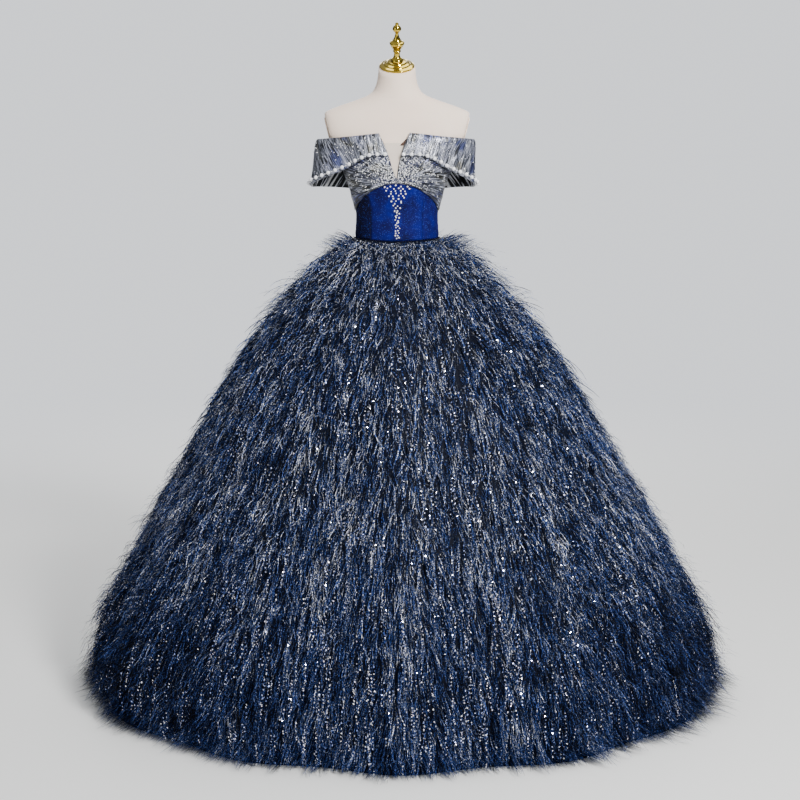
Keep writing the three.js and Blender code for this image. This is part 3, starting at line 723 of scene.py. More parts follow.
def makeForm():
    steps = np.arange((len(formGrid["rings"]) - 1) * formGrid["rows"] + 1) / formGrid["rows"]
    z = np.interp(steps, np.arange(len(formGrid["rings"])), formGrid["rings"])[:, None]
    turn = (np.arange(formGrid["stations"]) * 360 / formGrid["stations"] - 180)[None, :]
    seam = formGrid["neckSeam"]
    seamZ = seam["z"] - seam["dip"] * np.clip(np.cos(np.radians(turn)), -0.4, 1)
    groove = seam["depth"] * np.exp(-((z - seamZ) / seam["width"]) ** 2)
    points = place(turn, formRadius(turn, z) - groove, z)
    lean = math.tan(math.radians(neck["slant"])) * smooth(neck["slantStart"], neck["top"], z)
    points[..., 2] += points[..., 1] * lean
    rows, columns = points.shape[:2]
    faces = gridFaces(rows, columns, 0, True).tolist()
    faces += endFaces(columns, (rows - 1) * columns, rows * columns)
    ends = [[0, 0, formSections[0]["z"]], [0, 0, neck["top"]]]
    torso = newPiece("form_body", np.concatenate([points.reshape(-1, 3), ends]), faces, [jersey])
    seat(torso, ["form_torso"])

    lean = math.atan(armPlate["slope"])
    out = armPlate["thick"] / 2 + seams["gap"]
    x = armPlate["x"] + (armPlate["middle"] - armPlate["z"]) * armPlate["slope"] + out * math.cos(lean)
    half = armPlate["thick"] / 2
    for side, spin in (("left", math.pi), ("right", 0)):
        wide = Matrix.Diagonal((armPlate["halfDepth"], armPlate["halfHeight"], 1, 1))
        upright = Matrix.Rotation(math.pi / 2 + lean, 4, "Y")
        quarter = Matrix.Rotation(math.pi / 2, 4, "Z")
        at = Matrix.Translation((x, 0, armPlate["middle"] - out * math.sin(lean)))
        profile = [(0, -half), (0.97, -half), (1, -half * 0.4), (1, half * 0.3), (0.96, half * 0.85),
                   (0.8, half), (0, half)]
        move = Matrix.Rotation(spin, 4, "Z") @ at @ upright @ quarter @ wide
        plate = turnedPiece(f"form_plate_{side}", profile, jersey, 64, move)
        seat(plate, [f"form_arm_plate_{side}"])

    top = Matrix.Translation((0, 0, neck["top"] + seams["gap"]))
    top = top @ Matrix.Rotation(math.radians(neck["slant"]), 4, "X")
    seat(turnedPiece("neck_cap", eased(capProfile, 0.9), brass, 96, top), ["form_neck_cap"])
    knob = np.concatenate([finialProfile[:1], flowing(finialProfile[1:])])
    seat(turnedPiece("finial", knob, brass, 64, top), ["form_finial"])

    rim = stand["baseRadius"]
    foot = [(0, 0), (rim - 3, 0), (rim, 3), (rim, stand["edge"]), (stand["hub"], stand["dome"]),
            (0, stand["dome"])]
    seat(turnedPiece("stand_foot", eased(foot, 3), steel, 96), ["form_base"])
    low, high = stand["dome"] + seams["gap"], formSections[0]["z"] - seams["gap"]
    shoulder = stand["dome"] + stand["socketHeight"]
    post = [(0, low), (stand["socket"], low), (stand["socket"], shoulder), (stand["pole"], shoulder),
            (stand["pole"], high), (0, high)]
    seat(turnedPiece("stand_pole", eased(post, 2), steel, 48), ["form_pole"])


makeForm()
print("dress form made")


# Skirt: three panels of satin that carry the pile. flat is the width and length of each cut, and its area.
skirtCut = {
    "front": {"span": (-90, 90), "columns": 120, "flat": (2.43, 1.49), "area": 2.2},
    "back_right": {"span": (90, 180), "columns": 60, "flat": (1.33, 1.45), "area": 1.1},
    "back_left": {"span": (-180, -90), "columns": 60, "flat": (1.33, 1.45), "area": 1.1},
}
skirtRows = 48


def makeSkirtPanel(side):
    cut = skirtCut[side]
    start, end = cut["span"]
    half = halfSeam(500)
    turn = np.linspace(start + half, end - half, cut["columns"] + 1)[None, :]
    level = np.linspace(0, waist["height"], skirtRows + 1)[:, None]
    outer = skirtPoint(turn, level, 0)
    inner = skirtPoint(turn, level, -skirtFolds["wall"])
    return seat(clothShell(f"skirt_{side}_cloth", outer, inner, [satin], flatLengths(outer)),
                [f"skirt_{side}"])


skirtPanels = {side: makeSkirtPanel(side) for side in skirtCut}
print("skirt panels made")


# Pile: slips of yarn sewn on in tiers. Every slip springs out from the skirt, then hangs, and leans towards
# the middle of its tuft. The base mesh gives each place its lay, way, reach, lift, shade, crowd and bare: lay
# is straight down the cloth, way is where the slip really heads, shade shifts the tone and holds painted
# light and shade as well as the yarn's own bands and darker kinds, and bare is how far the painted shade at
# the roots is taken off.
yarnPile = {
    "density": 29200.0, "steps": 3, "width": 1.5 * mm, "length": 46 * mm, "lengthSpread": 0.5, "taper": 0.75,
    "roll": 1.3, "yaw": 0.2, "sway": 6 * mm, "curl": 4 * mm, "tuft": 30 * mm, "gather": 0.6, "seed": 11,
}
strayYarn = {
    **yarnPile, "density": 1300.0, "steps": 5, "width": 3 * mm, "length": 80 * mm, "lengthSpread": 0.35,
    "sway": 14 * mm, "curl": 11 * mm, "tuft": 60 * mm, "gather": 0.3, "seed": 70,
}
waistYarn = {
    **yarnPile, "density": 6000.0, "steps": 5, "width": 3 * mm, "length": 36 * mm, "sway": 16 * mm,
    "curl": 10 * mm, "tuft": 22 * mm, "gather": 0.5, "seed": 90,
}


def yarnTree():
    tree, given = newTree("yarn pile", {**yarnPile, "material": None})
    crowd, reach, lift, shade, bare = (
        field(tree, name) for name in ("crowd", "reach", "lift", "shade", "bare"))
    lay, way = (field(tree, name, "FLOAT_VECTOR") for name in ("lay", "way"))
    position = addNode(tree, "GeometryNodeInputPosition")
    many = maths(tree, "MULTIPLY", given["density"], crowd)
    roots = addNode(tree, "GeometryNodeDistributePointsOnFaces", {"distribute_method": "RANDOM"},
                    {"Mesh": given["Geometry"], "Density": many, "Seed": given["seed"]})

    # One slip, from its root at 0 to its tip at 1 along Y.
    slip = addNode(tree, "GeometryNodeMeshGrid", None,
                   {"Size X": given["width"], "Size Y": 1.0, "Vertices X": 2, "Vertices Y": given["steps"]})
    raw = addNode(tree, "ShaderNodeSeparateXYZ", None, {"Vector": position})
    along = maths(tree, "ADD", raw.outputs["Y"], 0.5)
    slip = stored(tree, slip.outputs["Mesh"], "along", along)
    square = maths(tree, "MULTIPLY", along, along)
    thin = maths(tree, "MULTIPLY", square, given["taper"])
    thin = maths(tree, "SUBTRACT", 1.0, thin)
    narrow = maths(tree, "MULTIPLY", raw.outputs["X"], thin)
    shaped = addNode(tree, "ShaderNodeCombineXYZ", None, {"X": narrow, "Y": along})
    slip = addNode(tree, "GeometryNodeSetPosition", None, {"Geometry": slip, "Position": shaped})

    # Tone: streaks of like colour, some chance, and the place's shade, which holds painted light and shade as
    # well as the yarn's own bands.
    streaky = vectorMaths(tree, "MULTIPLY", position, (1, 1, 0.4))
    streaks = noise(tree, streaky, 38.0, Detail=2.0)
    streaks = mapped(tree, streaks, (0.32, 0.68))
    own = byChance(tree, 1)
    tone = addNode(tree, "ShaderNodeMix", {"data_type": "FLOAT"}, {"Factor": 0.62, "A": streaks, "B": own})
    tone = maths(tree, "ADD", tone, shade)

    # Tufts: the tip moves towards the middle of its cell, and a little by chance.
    cellScale = maths(tree, "DIVIDE", 1.0, given["tuft"])
    squashed = vectorMaths(tree, "MULTIPLY", position, (1, 1, 0.4))
    cells = addNode(tree, "ShaderNodeTexVoronoi", None, {"Vector": squashed, "Scale": cellScale})
    inward = vectorMaths(tree, "SUBTRACT", cells.outputs["Position"], squashed)
    inward = scaled(tree, inward, given["gather"])
    away = maths(tree, "MULTIPLY", given["sway"], -1.0)
    swing = byChance(tree, 2, away, given["sway"], "FLOAT_VECTOR")
    drift = vectorMaths(tree, "ADD", inward, swing)
    drift = vectorMaths(tree, "MULTIPLY", drift, (1, 1, 0))
    high = byChance(tree, 3)
    high = maths(tree, "POWER", high, 2.2)  # a few stand far out
    high = mapped(tree, high, target=(0.2, 1.5))
    high = maths(tree, "MULTIPLY", high, lift)
    full = addNode(tree, "ShaderNodeSeparateXYZ", None, {"Vector": cells.outputs["Color"]})
    full = mapped(tree, full, target=(0.4, 1.3))
    high = maths(tree, "MULTIPLY", high, full)
    rise = scaled(tree, roots.outputs["Normal"], high)
    least = maths(tree, "SUBTRACT", 1.0, given["lengthSpread"])
    most = maths(tree, "ADD", 1.0, given["lengthSpread"])
    long = byChance(tree, 5, least, most)
    long = maths(tree, "MULTIPLY", long, reach)
    long = maths(tree, "MULTIPLY", long, given["length"])
    turned = vectorMaths(tree, "SUBTRACT", way, lay)
    turned = scaled(tree, turned, long)
    back = maths(tree, "MULTIPLY", given["curl"], -1.0)
    curl = byChance(tree, 7, back, given["curl"], "FLOAT_VECTOR")
    curl = vectorMaths(tree, "MULTIPLY", curl, (1, 1, 0))
    points = roots.outputs["Points"]
    for name, value in (("tone", tone), ("bare", bare)):
        points = stored(tree, points, name, value)
    for name, value in (("drift", drift), ("rise", rise), ("turned", turned), ("curl", curl)):
        points = stored(tree, points, name, value, "FLOAT_VECTOR")

    facing = addNode(tree, "FunctionNodeAlignRotationToVector", {"axis": "Y", "pivot_axis": "Z"},
                     {"Rotation": roots.outputs["Rotation"], "Vector": lay})
    widest = addNode(tree, "ShaderNodeCombineXYZ", None, {"Y": given["roll"], "Z": given["yaw"]})
    opposite = scaled(tree, widest, -1.0)
    wobble = byChance(tree, 4, opposite, widest, "FLOAT_VECTOR")
    wobble = addNode(tree, "FunctionNodeEulerToRotation", None, {"Euler": wobble})
    facing = addNode(tree, "FunctionNodeRotateRotation", {"rotation_space": "LOCAL"},
                     {"Rotation": facing, "Rotate By": wobble})
    broad = byChance(tree, 6, 0.5, 1.3)
    size = addNode(tree, "ShaderNodeCombineXYZ", None, {"X": broad, "Y": long, "Z": 1.0})
    slips = addNode(tree, "GeometryNodeInstanceOnPoints", None,
                    {"Points": points, "Instance": slip, "Rotation": facing, "Scale": size})

    def bendSlips(solid):
        along = field(tree, "along")
        left = maths(tree, "SUBTRACT", 1.0, along)
        early = maths(tree, "POWER", left, 1.9)
        early = maths(tree, "SUBTRACT", 1.0, early)
        late = maths(tree, "POWER", along, 1.6)
        middle = maths(tree, "MULTIPLY", along, left)
        middle = maths(tree, "MULTIPLY", middle, 4.0)
        for name, share in (("rise", early), ("drift", late), ("turned", along), ("curl", middle)):
            shift = field(tree, name, "FLOAT_VECTOR")
            shift = scaled(tree, shift, share)
            solid = addNode(tree, "GeometryNodeSetPosition", None, {"Geometry": solid, "Offset": shift})
            solid = addNode(tree, "GeometryNodeRemoveAttribute", None, {"Geometry": solid, "Name": name})
        return addNode(tree, "GeometryNodeSetShadeSmooth", None, {"Geometry": solid})

    endTree(tree, slips, given["material"], bendSlips)
    return tree


# Each tier of pile is one piece, but the lowest is two, so that none grows too large.
pileTiers = {tier: [(-180, 180)] for tier in range(1, 6)}
pileTiers[6] = [(-90, 90), (90, 270)]
pileStand = [  # how far the slips spring out from the cloth, by height
    {"z": 0, "lift": 34}, {"z": 120, "lift": 40}, {"z": 300, "lift": 34}, {"z": 500, "lift": 28},
    {"z": 700, "lift": 22}, {"z": 900, "lift": 24}, {"z": 1060, "lift": 40}, {"z": 1140, "lift": 34},
    {"z": 1180, "lift": 10},
]
pileHem = {"flare": 18, "flareTurn": 80, "flareWide": 42, "fan": 95, "clear": 4}
pileHips = {"out": 18, "leftShare": 0.1, "turn": 90, "wide": 38}
# Where a slip heads, as shares of outwards and upwards: at the waist's corners, and spread out at the hem.
pileWays = {"waist": (0.8, 0.25), "hem": (0.6, -0.3)}
# The pile itself, long stray yarns over it, and short tufts at the waist's corners. hang is how far they turn
# from the cloth's own slope to straight down.
pileKinds = {
    "pile": {"yarn": yarnPile, "hang": 0.75, "lift": 1, "shade": 0},
    "stray": {"yarn": strayYarn, "hang": 0.15, "lift": 0.75, "shade": -0.2},
    "waist": {"yarn": waistYarn, "hang": 0, "lift": 0.45, "shade": -0.1},
}
# Painted light and shade in the yarn's tone, by place: lighter at the upper front, darker low down and at the
# low sides, but not behind, and a little darker away from the front. It stands in for the fall-off of a lamp
# from one side.
# Only bands is the yarn's own: upright stripes of lighter and darker yarn.
pileBandsAndPaintedShade = {"frontTop": 0.2, "lowSide": 0.2, "bands": 0.05, "low": 0.2, "aside": 0.04}
pileCrowd = {"behind": 0.82, "before": 1.08, "hem": 0.9, "waist": 2}
pileGrid = {"perDegree": 0.8, "step": 9, "least": 4, "clear": 1.5}
waistTurns, waistLevels = (60, 124), (1138, 1171)
strayLevels = (130, 1150)


def pileLift(turn, z):
    flare = smooth(190, 20, z) * np.exp(-((turn - pileHem["flareTurn"]) / pileHem["flareWide"]) ** 2)
    away = fromFront(turn)
    atHips = np.exp(-((away - pileHips["turn"]) / pileHips["wide"]) ** 2)
    hips = smooth(980, 1070, z) * smooth(1176, 1150, z) * atHips
    hips = hips * np.where(turn > 0, 1, pileHips["leftShare"])
    return readTable(pileStand, "lift", z) + pileHem["flare"] * flare + pileHips["out"] * hips


def unit(vectors):
    return vectors / np.linalg.norm(vectors, axis=-1, keepdims=True)


def pileBase(span, levels, kind="pile"):
    chosen = pileKinds[kind]
    columns = int((span[1] - span[0]) * pileGrid["perDegree"])
    turn = np.linspace(*span, columns + 1)[None, :]
    rows = max(pileGrid["least"], int((levels[1] - levels[0]) / pileGrid["step"]))
    level = np.linspace(*levels, rows + 1)[:, None]
    points = skirtPoint(turn, level, pileGrid["clear"])
    lay = unit(-np.gradient(points, axis=0))
    outward = unit(points * [1, 1, 0])
    z = points[..., 2]
    turn = turn + 0 * z
    away = fromFront(turn)
    broad = np.sin(np.radians(turn * 21) + 1.5 * np.sin(z / 190))
    fine = np.sin(np.radians(turn * 34) + 2 * np.sin(z / 130))
    # Painted light and shade: top lightens the upper front; lowSide, low and aside darken the low sides, the
    # bottom and the turn from the front.
    low = smooth(520, 60, z)
    top = pileBandsAndPaintedShade["frontTop"] * smooth(950, 1165, z) * smooth(100, 40, away)
    shade = top - pileBandsAndPaintedShade["lowSide"] * low * smooth(5, 80, away) * smooth(175, 110, away)
    shade = shade + pileBandsAndPaintedShade["bands"] * (broad + fine)
    shade = shade - pileBandsAndPaintedShade["low"] * low - pileBandsAndPaintedShade["aside"] * smooth(10, 50, away) + chosen["shade"]
    up = np.array([0, 0, 1.0])
    out, rise = pileWays["waist" if kind == "waist" else "hem"]
    headed = out * outward + rise * up
    if kind == "waist":
        way = unit(headed)
    else:
        fan = smooth(pileHem["fan"], 10, z)[..., None]
        way = mix(mix(lay, -up, chosen["hang"]), headed, fan)
    longest = chosen["yarn"]["length"] / mm * (1 + chosen["yarn"]["lengthSpread"])
    reach = np.clip((z - pileHem["clear"]) / np.maximum(-way[..., 2] * longest, 0.1), 0.05, 1)
    crowd = mix(pileCrowd["behind"], pileCrowd["before"], smooth(150, 60, away))
    crowd = crowd + pileCrowd["hem"] * smooth(90, 8, z) + pileCrowd["waist"] * smooth(1120, 1165, z)
    lift = pileLift(turn, z) * chosen["lift"] * mm
    # bare takes the painted root shade off near the waist, where no slips lie over the roots.
    return baseMesh("base", points, gridFaces(*points.shape[:2]).tolist(), {
        "lay": lay, "way": way, "reach": reach, "lift": lift, "shade": shade, "crowd": crowd,
        "bare": smooth(1115, 1160, z) * 0.8})


# Sequins are threaded on some of the yarns, so they hang in short upright strings at the slips' tips.
sequins = {"radius": 1.8 * mm, "tilt": 0.5, "seed": 5}
sequinStrings = {"count": 5200, "least": 2, "most": 12, "pitch": 8.5, "jitter": 1.5, "front": 0.8, "seed": 6}


def sequinTree():
    tree, given = newTree("sequins", {**sequins, "material": None})
    outward = field(tree, "outward", "FLOAT_VECTOR")
    spots = addNode(tree, "GeometryNodeMeshToPoints", None, {"Mesh": given["Geometry"]})
    tone = byChance(tree, given["seed"])
    spots = stored(tree, spots, "tone", tone)
    facing = addNode(tree, "FunctionNodeAlignRotationToVector", {"axis": "Z"}, {"Vector": outward})
    most = addNode(tree, "ShaderNodeCombineXYZ", None, {"X": given["tilt"], "Y": given["tilt"], "Z": 0.4})
    least = scaled(tree, most, -1.0)
    tilted = byChance(tree, 3, least, most, "FLOAT_VECTOR")
    tilted = addNode(tree, "FunctionNodeEulerToRotation", None, {"Euler": tilted})
    facing = addNode(tree, "FunctionNodeRotateRotation", {"rotation_space": "LOCAL"},
                     {"Rotation": facing, "Rotate By": tilted})
    disc = addNode(tree, "GeometryNodeMeshCircle", {"fill_type": "NGON"},
                   {"Vertices": 6, "Radius": given["radius"]})
    size = byChance(tree, 4, (0.45, 0.45, 1), (1.1, 1.45, 1), "FLOAT_VECTOR")
    discs = addNode(tree, "GeometryNodeInstanceOnPoints", None,
                    {"Points": spots, "Instance": disc, "Rotation": facing, "Scale": size})
    endTree(tree, discs, given["material"])
    return tree


def sequinBase():
    chance = np.random.default_rng(sequinStrings["seed"])
    count = sequinStrings["count"]
    turn = chance.uniform(-180, 180, count)
    level = chance.uniform(40, 1160, count)
    room = readTable(skirtSections, "halfWidth", level) / skirtSections[0]["halfWidth"]
    middle = 1 + sequinStrings["front"] * smooth(70, 10, np.abs(turn)) * smooth(1150, 600, level)
    kept = chance.uniform(0, 1 + sequinStrings["front"], count) < room * middle
    turn, level = turn[kept], level[kept]
    share = chance.uniform(0.55, 0.95, len(turn))
    numbers = chance.integers(sequinStrings["least"], sequinStrings["most"], len(turn))
    string = np.repeat(np.arange(len(turn)), numbers)
    step = np.concatenate([np.arange(n) for n in numbers])
    radius = readTable(skirtSections, "halfWidth", level[string])
    turn = turn[string] + np.degrees(chance.normal(0, sequinStrings["jitter"], len(string)) / radius)
    stray = chance.normal(0, sequinStrings["jitter"], len(string))
    level = level[string] - step * sequinStrings["pitch"] + stray
    turn, level, share = turn[level > 8], level[level > 8], share[string][level > 8]
    points = skirtPoint(turn, level, 0)
    across = skirtPoint(turn + 0.3, level, 0) - skirtPoint(turn - 0.3, level, 0)
    outward = unit(np.cross(across, skirtPoint(turn, level + 5, 0) - skirtPoint(turn, level - 5, 0)))
    points = points + outward * (pileLift(turn, level) * share)[:, None]
    points[:, 2] = np.maximum(points[:, 2], 4)
    return baseMesh("base", points, [], {"outward": outward})


def makePile():
    yarns = yarnTree()
    made = []
    for tier, spans in pileTiers.items():
        above, below = (2 if tier == 1 else 0), (7 if tier == 6 else 0)
        levels = (skirtLevels[tier] + below, skirtLevels[tier - 1] - above)
        for part, span in enumerate(spans):
            name = f"yarn_pile_{tier}" + ("ab"[part] if len(spans) > 1 else "")
            piece = grow(name, pileBase(span, levels), yarns,
                         {**yarnPile, "seed": yarnPile["seed"] + 10 * tier + part, "material": yarn})
            made.append(seat(piece, [f"pile_tier_{tier}"]))
    near, far = waistTurns
    for name, kind, span, levels in (("waist_tufts_left", "waist", (-far, -near), waistLevels),
                                     ("waist_tufts_right", "waist", (near, far), waistLevels),
                                     ("stray_yarns", "stray", (-180, 180), strayLevels)):
        tufts = grow(name, pileBase(span, levels, kind), yarns, {**pileKinds[kind]["yarn"], "material": yarn})
        made.append(seat(tufts, []))
    specks = grow("sequins", sequinBase(), sequinTree(), {**sequins, "material": sequin})
    made.append(seat(specks, []))
    print("pile made,", sum(len(piece.data.polygons) for piece in made), "faces")
    return made


pile = makePile()


# How many points each piece of the bodice has, up it and across it.
clothGrids = {
    "midriff": (31, 41), "bust": (61, 111), "bodiceBack": (41, 61), "inset": (41, 31), "collar": (29, 211),
    "tab": (7, 7),
}


def gridShares(name):
    rows, columns = clothGrids[name]
    return np.linspace(0, 1, rows)[:, None], np.linspace(0, 1, columns)[None, :]


# Velvet midriff: five panels, with faint drag lines where it is drawn in at the waist.
midriffPanels = {
    "front": {"span": (-seams["princess"], seams["princess"]), "flat": (0.165, 0.135)},
    "side_left": {"span": (-seams["sideBack"], -seams["princess"]), "flat": (0.108, 0.102)},
    "side_right": {"span": (seams["princess"], seams["sideBack"]), "flat": (0.108, 0.102)},
    "back_left": {"span": (-180, -seams["sideBack"]), "flat": (0.118, 0.085)},
    "back_right": {"span": (seams["sideBack"], 180), "flat": (0.118, 0.085)},
}
dragLines = {"pitch": 17, "depth": 0.7, "slant": 0.25}


def makeMidriff(side):
    panel = midriffPanels[side]
    half = halfSeam(105)
    start, end = panel["span"]
    rows, columns = clothGrids["midriff"]
    turn = np.linspace(start + half, end - half, columns)[None, :]
    up = np.linspace(0, 1, rows)[:, None]
    z = mix(waistZ(turn) + seams["gap"], underbustZ(turn) + underbust["tuck"], up)
    near, far = layers["midriff"]
    radius = formRadius(turn, z)
    lengths = flatLengths(place(turn, radius, z))
    phase = (lengths[..., 1] + dragLines["slant"] * lengths[..., 0]) / dragLines["pitch"]
    lines = dragLines["depth"] * np.sin(2 * np.pi * phase + 1.7 * np.sin(turn / 13)) * smooth(0.75, 0.1, up)
    puff = seamPuff(lengths)
    outer = place(turn, radius + mix(near + 1.1, far, puff) + lines * puff * 0.6, z)
    # The side_left and back_right panels get the darker velvet, which holds painted shade as well as its nap.
    piece = clothShell(f"midriff_{side}_velvet", outer, place(turn, radius + near, z),
                       [velvetNapUpAndPaintedShade if side in ("side_left", "back_right") else velvet], lengths)
    return seat(piece, [f"midriff_{side}"])


midriffs = {side: makeMidriff(side) for side in midriffPanels}
print("midriff made")


# Draped bust: soft folds of uneven size that fan out from the knot, and finer creases between them.
def drapeLift(turn, z):
    across = np.abs(turn) * math.pi / 180 * formRadius(turn, z)
    up = z - drape["z"]
    fan = np.degrees(np.arctan2(up, across))
    uneven = fan + 5 * np.sin(fan / 17 + 0.8) + 3 * np.sin(across / 31)
    wave = (0.5 + 0.5 * np.cos(2 * np.pi * uneven / drape["pitch"])) ** 1.3
    size = 0.7 + 0.3 * np.sin(fan / 9 + across / 47)
    fine = 0.22 * np.sin(2 * np.pi * uneven / (drape["pitch"] * 0.31) + across / 40)
    clearOfKnot = smooth(drape["knotStart"], drape["knotEnd"], np.hypot(across, up))
    clearOfSeam = smooth(seams["side"] - 4, seams["side"] - drape["seamFade"], np.abs(turn))
    edge = smooth(0, 14, z - underbustZ(turn))
    underCollar = smooth(-8, -24, z - collarBottomZ(turn))
    return drape["height"] * (wave * size + fine) * clearOfKnot * clearOfSeam * edge * underCollar, fan


def orderedRows(sign, *grids):
    return [grid if sign > 0 else grid[:, ::-1] for grid in grids]


def makeBust(side, sign):
    near, far = layers["bodice"]
    up, across = gridShares("bust")
    start = notchTurn(sign, mix(underbustZ(0), bodiceTopZ(0), up), far)
    turn = mix(start, sign * (seams["side"] - seams["gap"]), across)
    z = mix(underbustZ(turn) + seams["gap"], bodiceTopZ(turn), up)
    lift, fan = drapeLift(turn, z)
    radius = formRadius(turn, z)
    outer, inner = place(turn, radius + far + lift, z), place(turn, radius + near, z)
    lengths = flatLengths(outer)
    puff = seamPuff(lengths)
    outer = place(turn, radius + mix(near + 1.2, far + lift, puff), z)
    reach = np.hypot(np.abs(turn) * math.pi / 180 * radius, z - drape["z"])
    threads = np.stack([np.radians(fan) * 90 * sign, reach], -1)  # the weave follows the folds
    outer, inner, threads = orderedRows(sign, outer, inner, threads)
    return seat(clothShell(f"bust_{side}_drape", outer, inner, [darkJacquard, wrongSide], threads),
                [f"bust_{side}"])


def makeBodiceBack(side, sign):
    near, far = layers["bodice"]
    half = halfSeam(100)
    rows, columns = clothGrids["bodiceBack"]
    turn = sign * np.linspace(seams["side"] + half, 180 - half, columns)[None, :]
    up = np.linspace(0, 1, rows)[:, None]
    z = mix(underbustZ(turn) + seams["gap"], bodiceTopZ(turn), up)
    radius = formRadius(turn, z)
    lengths = flatLengths(place(turn, radius + far, z))
    crease = 0.5 * np.sin(lengths[..., 0] / 5.5 + np.sin(lengths[..., 1] / 21))
    outer = place(turn, radius + mix(near + 1.2, far + crease, seamPuff(lengths)), z)
    outer, inner, lengths = orderedRows(sign, outer, place(turn, radius + near, z), lengths)
    return seat(clothShell(f"bodice_back_{side}_cloth", outer, inner, [darkJacquard, wrongSide], lengths),
                [f"bodice_back_{side}"])


def makeInset():
    near, far = layers["inset"]
    rows, columns = clothGrids["inset"]
    z = np.linspace(inset["bottom"], inset["top"], rows)[:, None]
    across = np.linspace(0, 1, columns)[None, :]
    left = -(readTable(notch, "left", z) + inset["tuck"])
    right = readTable(notch, "right", z) + inset["tuck"]
    turn = np.degrees(np.arcsin(mix(left, right, across) / formRadius(0, z)))
    radius = formRadius(turn, z)
    outer = place(turn, radius + far, z)
    piece = clothShell("inset_mesh", outer, place(turn, radius + near, z), [net], flatLengths(outer))
    return seat(piece, ["illusion_inset"])


# Collar: a doubled band, rounded along its top fold, with soft ripples that lean in towards its lower edge.
collarRipple = {"pitch": 19, "depth": 1.6, "slant": 0.4, "finePitch": 6.5, "fineDepth": 0.6}


def collarPhase(sign, turn, z):
    along = np.abs(np.radians(turn)) * 150
    return along - collarRipple["slant"] * (z - collar["topHeight"]) + 9 * np.sin(along / 37 + sign)


# The collar's outer face: how far out it stands at a turn, and at a share of the way up the band.
def collarFace(sign, turn, up):
    z = mix(collarBottomZ(turn), collarTopZ(turn), up)
    phase = collarPhase(sign, turn, z)
    wave = (0.5 + 0.5 * np.cos(2 * np.pi * phase / collarRipple["pitch"])) ** 1.2
    size = 0.55 + 0.45 * np.sin(phase / 29 + 2 * sign)
    fine = np.sin(2 * np.pi * phase / collarRipple["finePitch"] + 2 * np.sin(z / 11))
    ripple = collarRipple["depth"] * wave * size + collarRipple["fineDepth"] * fine
    wall = readTable(collarWall, "wall", up) + ripple * smooth(1.02, 0.9, up)
    return collarRadius(sign, turn, up, z) + wall, z


def makeCollar(side, sign):
    rows, columns = clothGrids["collar"]
    across = np.linspace(0, 1, columns)[None, :]
    up = np.sin(np.linspace(0, np.pi / 2, rows))[:, None]
    start = np.abs(notchTurn(sign, mix(collarBottomZ(0), collarTopZ(0), up), layers["collar"]))
    turn = sign * mix(start, 180 - seams["gap"] / 6, across)
    radius, z = collarFace(sign, turn, up)
    outer, inner = place(turn, radius, z), place(turn, collarRadius(sign, turn, up, z), z)
    threads = np.stack([collarPhase(sign, turn, z) + 400 * sign, z - collar["bottomHeight"]], -1)
    outer, inner, threads = orderedRows(sign, outer, inner, threads)
    return seat(clothShell(f"collar_{side}_band", outer, inner, [jacquard, wrongSide], threads),
                [f"collar_{side}"])


# A facing of brown tape shows behind the right edge of the notch.
facingTab = {"top": 1428, "bottom": 1412, "topWide": 2, "bottomWide": 11, "under": 3.55, "over": 4.25}


def makeFacingTab():
    up, across = gridShares("tab")
    z = mix(facingTab["bottom"], facingTab["top"], up)
    edge = readTable(notch, "right", z) - 0.3
    wide = mix(facingTab["bottomWide"], facingTab["topWide"], up)
    x = mix(edge - wide, edge, across)
    turn = np.degrees(np.arcsin(x / formRadius(0, z)))
    outer = place(turn, formRadius(turn, z) + facingTab["over"], z)
    inner = place(turn, formRadius(turn, z) + facingTab["under"], z)
    return seat(clothShell("facing_tab", outer, inner, [tape], flatLengths(outer)), [])


sides = {"left": -1, "right": 1}
busts = {side: makeBust(side, sign) for side, sign in sides.items()}
backs = {side: makeBodiceBack(side, sign) for side, sign in sides.items()}
collars = {side: makeCollar(side, sign) for side, sign in sides.items()}
insetPiece = makeInset()
makeFacingTab()
print("bodice and collar made")


# Pearls on their thread along the collar's lower edge, with a small bead between each two.
pearlString = {"pearl": 5 * mm, "bead": 1.2 * mm, "spacing": 20 * mm, "thread": 0.35 * mm}
pearlRun = {"up": 0.06, "startTurn": 3, "endTurn": 112, "wall": 3, "clear": 2.2}


def pearlTree():
    tree, given = newTree("pearl string", {**pearlString, "pearls": None})
    curve = addNode(tree, "GeometryNodeMeshToCurve", None, {"Mesh": given["Geometry"]})
    quarter = maths(tree, "DIVIDE", given["spacing"], 4.0)
    even = addNode(tree, "GeometryNodeResampleCurve", {"mode": "LENGTH"}, {"Curve": curve, "Length": quarter})
    number = addNode(tree, "GeometryNodeInputIndex")
    fourth = maths(tree, "MODULO", number, 4.0)
    isPearl = maths(tree, "LESS_THAN", fourth, 0.5)
    isBead = maths(tree, "COMPARE", fourth, 2.0, 0.5)
    ball = addNode(tree, "GeometryNodeMeshUVSphere", None,
                   {"Segments": 16, "Rings": 10, "Radius": given["pearl"]})
    small = addNode(tree, "GeometryNodeMeshIcoSphere", None, {"Subdivisions": 2, "Radius": given["bead"]})
    pearlsOn = addNode(tree, "GeometryNodeInstanceOnPoints", None,
                       {"Points": even, "Selection": isPearl, "Instance": ball.outputs["Mesh"]})
    beadsOn = addNode(tree, "GeometryNodeInstanceOnPoints", None,
                      {"Points": even, "Selection": isBead, "Instance": small.outputs["Mesh"]})
    ring = addNode(tree, "GeometryNodeCurvePrimitiveCircle", None,
                   {"Resolution": 5, "Radius": given["thread"]})
    thread = addNode(tree, "GeometryNodeCurveToMesh", None,
                     {"Curve": even, "Profile Curve": ring.outputs["Curve"], "Fill Caps": True})
    joined = addNode(tree, "GeometryNodeJoinGeometry")
    for part in (thread, beadsOn, pearlsOn):
        tree.links.new(part.outputs[0], joined.inputs[0])
    endTree(tree, joined, given["pearls"],
            lambda solid: addNode(tree, "GeometryNodeSetShadeSmooth", None, {"Geometry": solid}))
    return tree


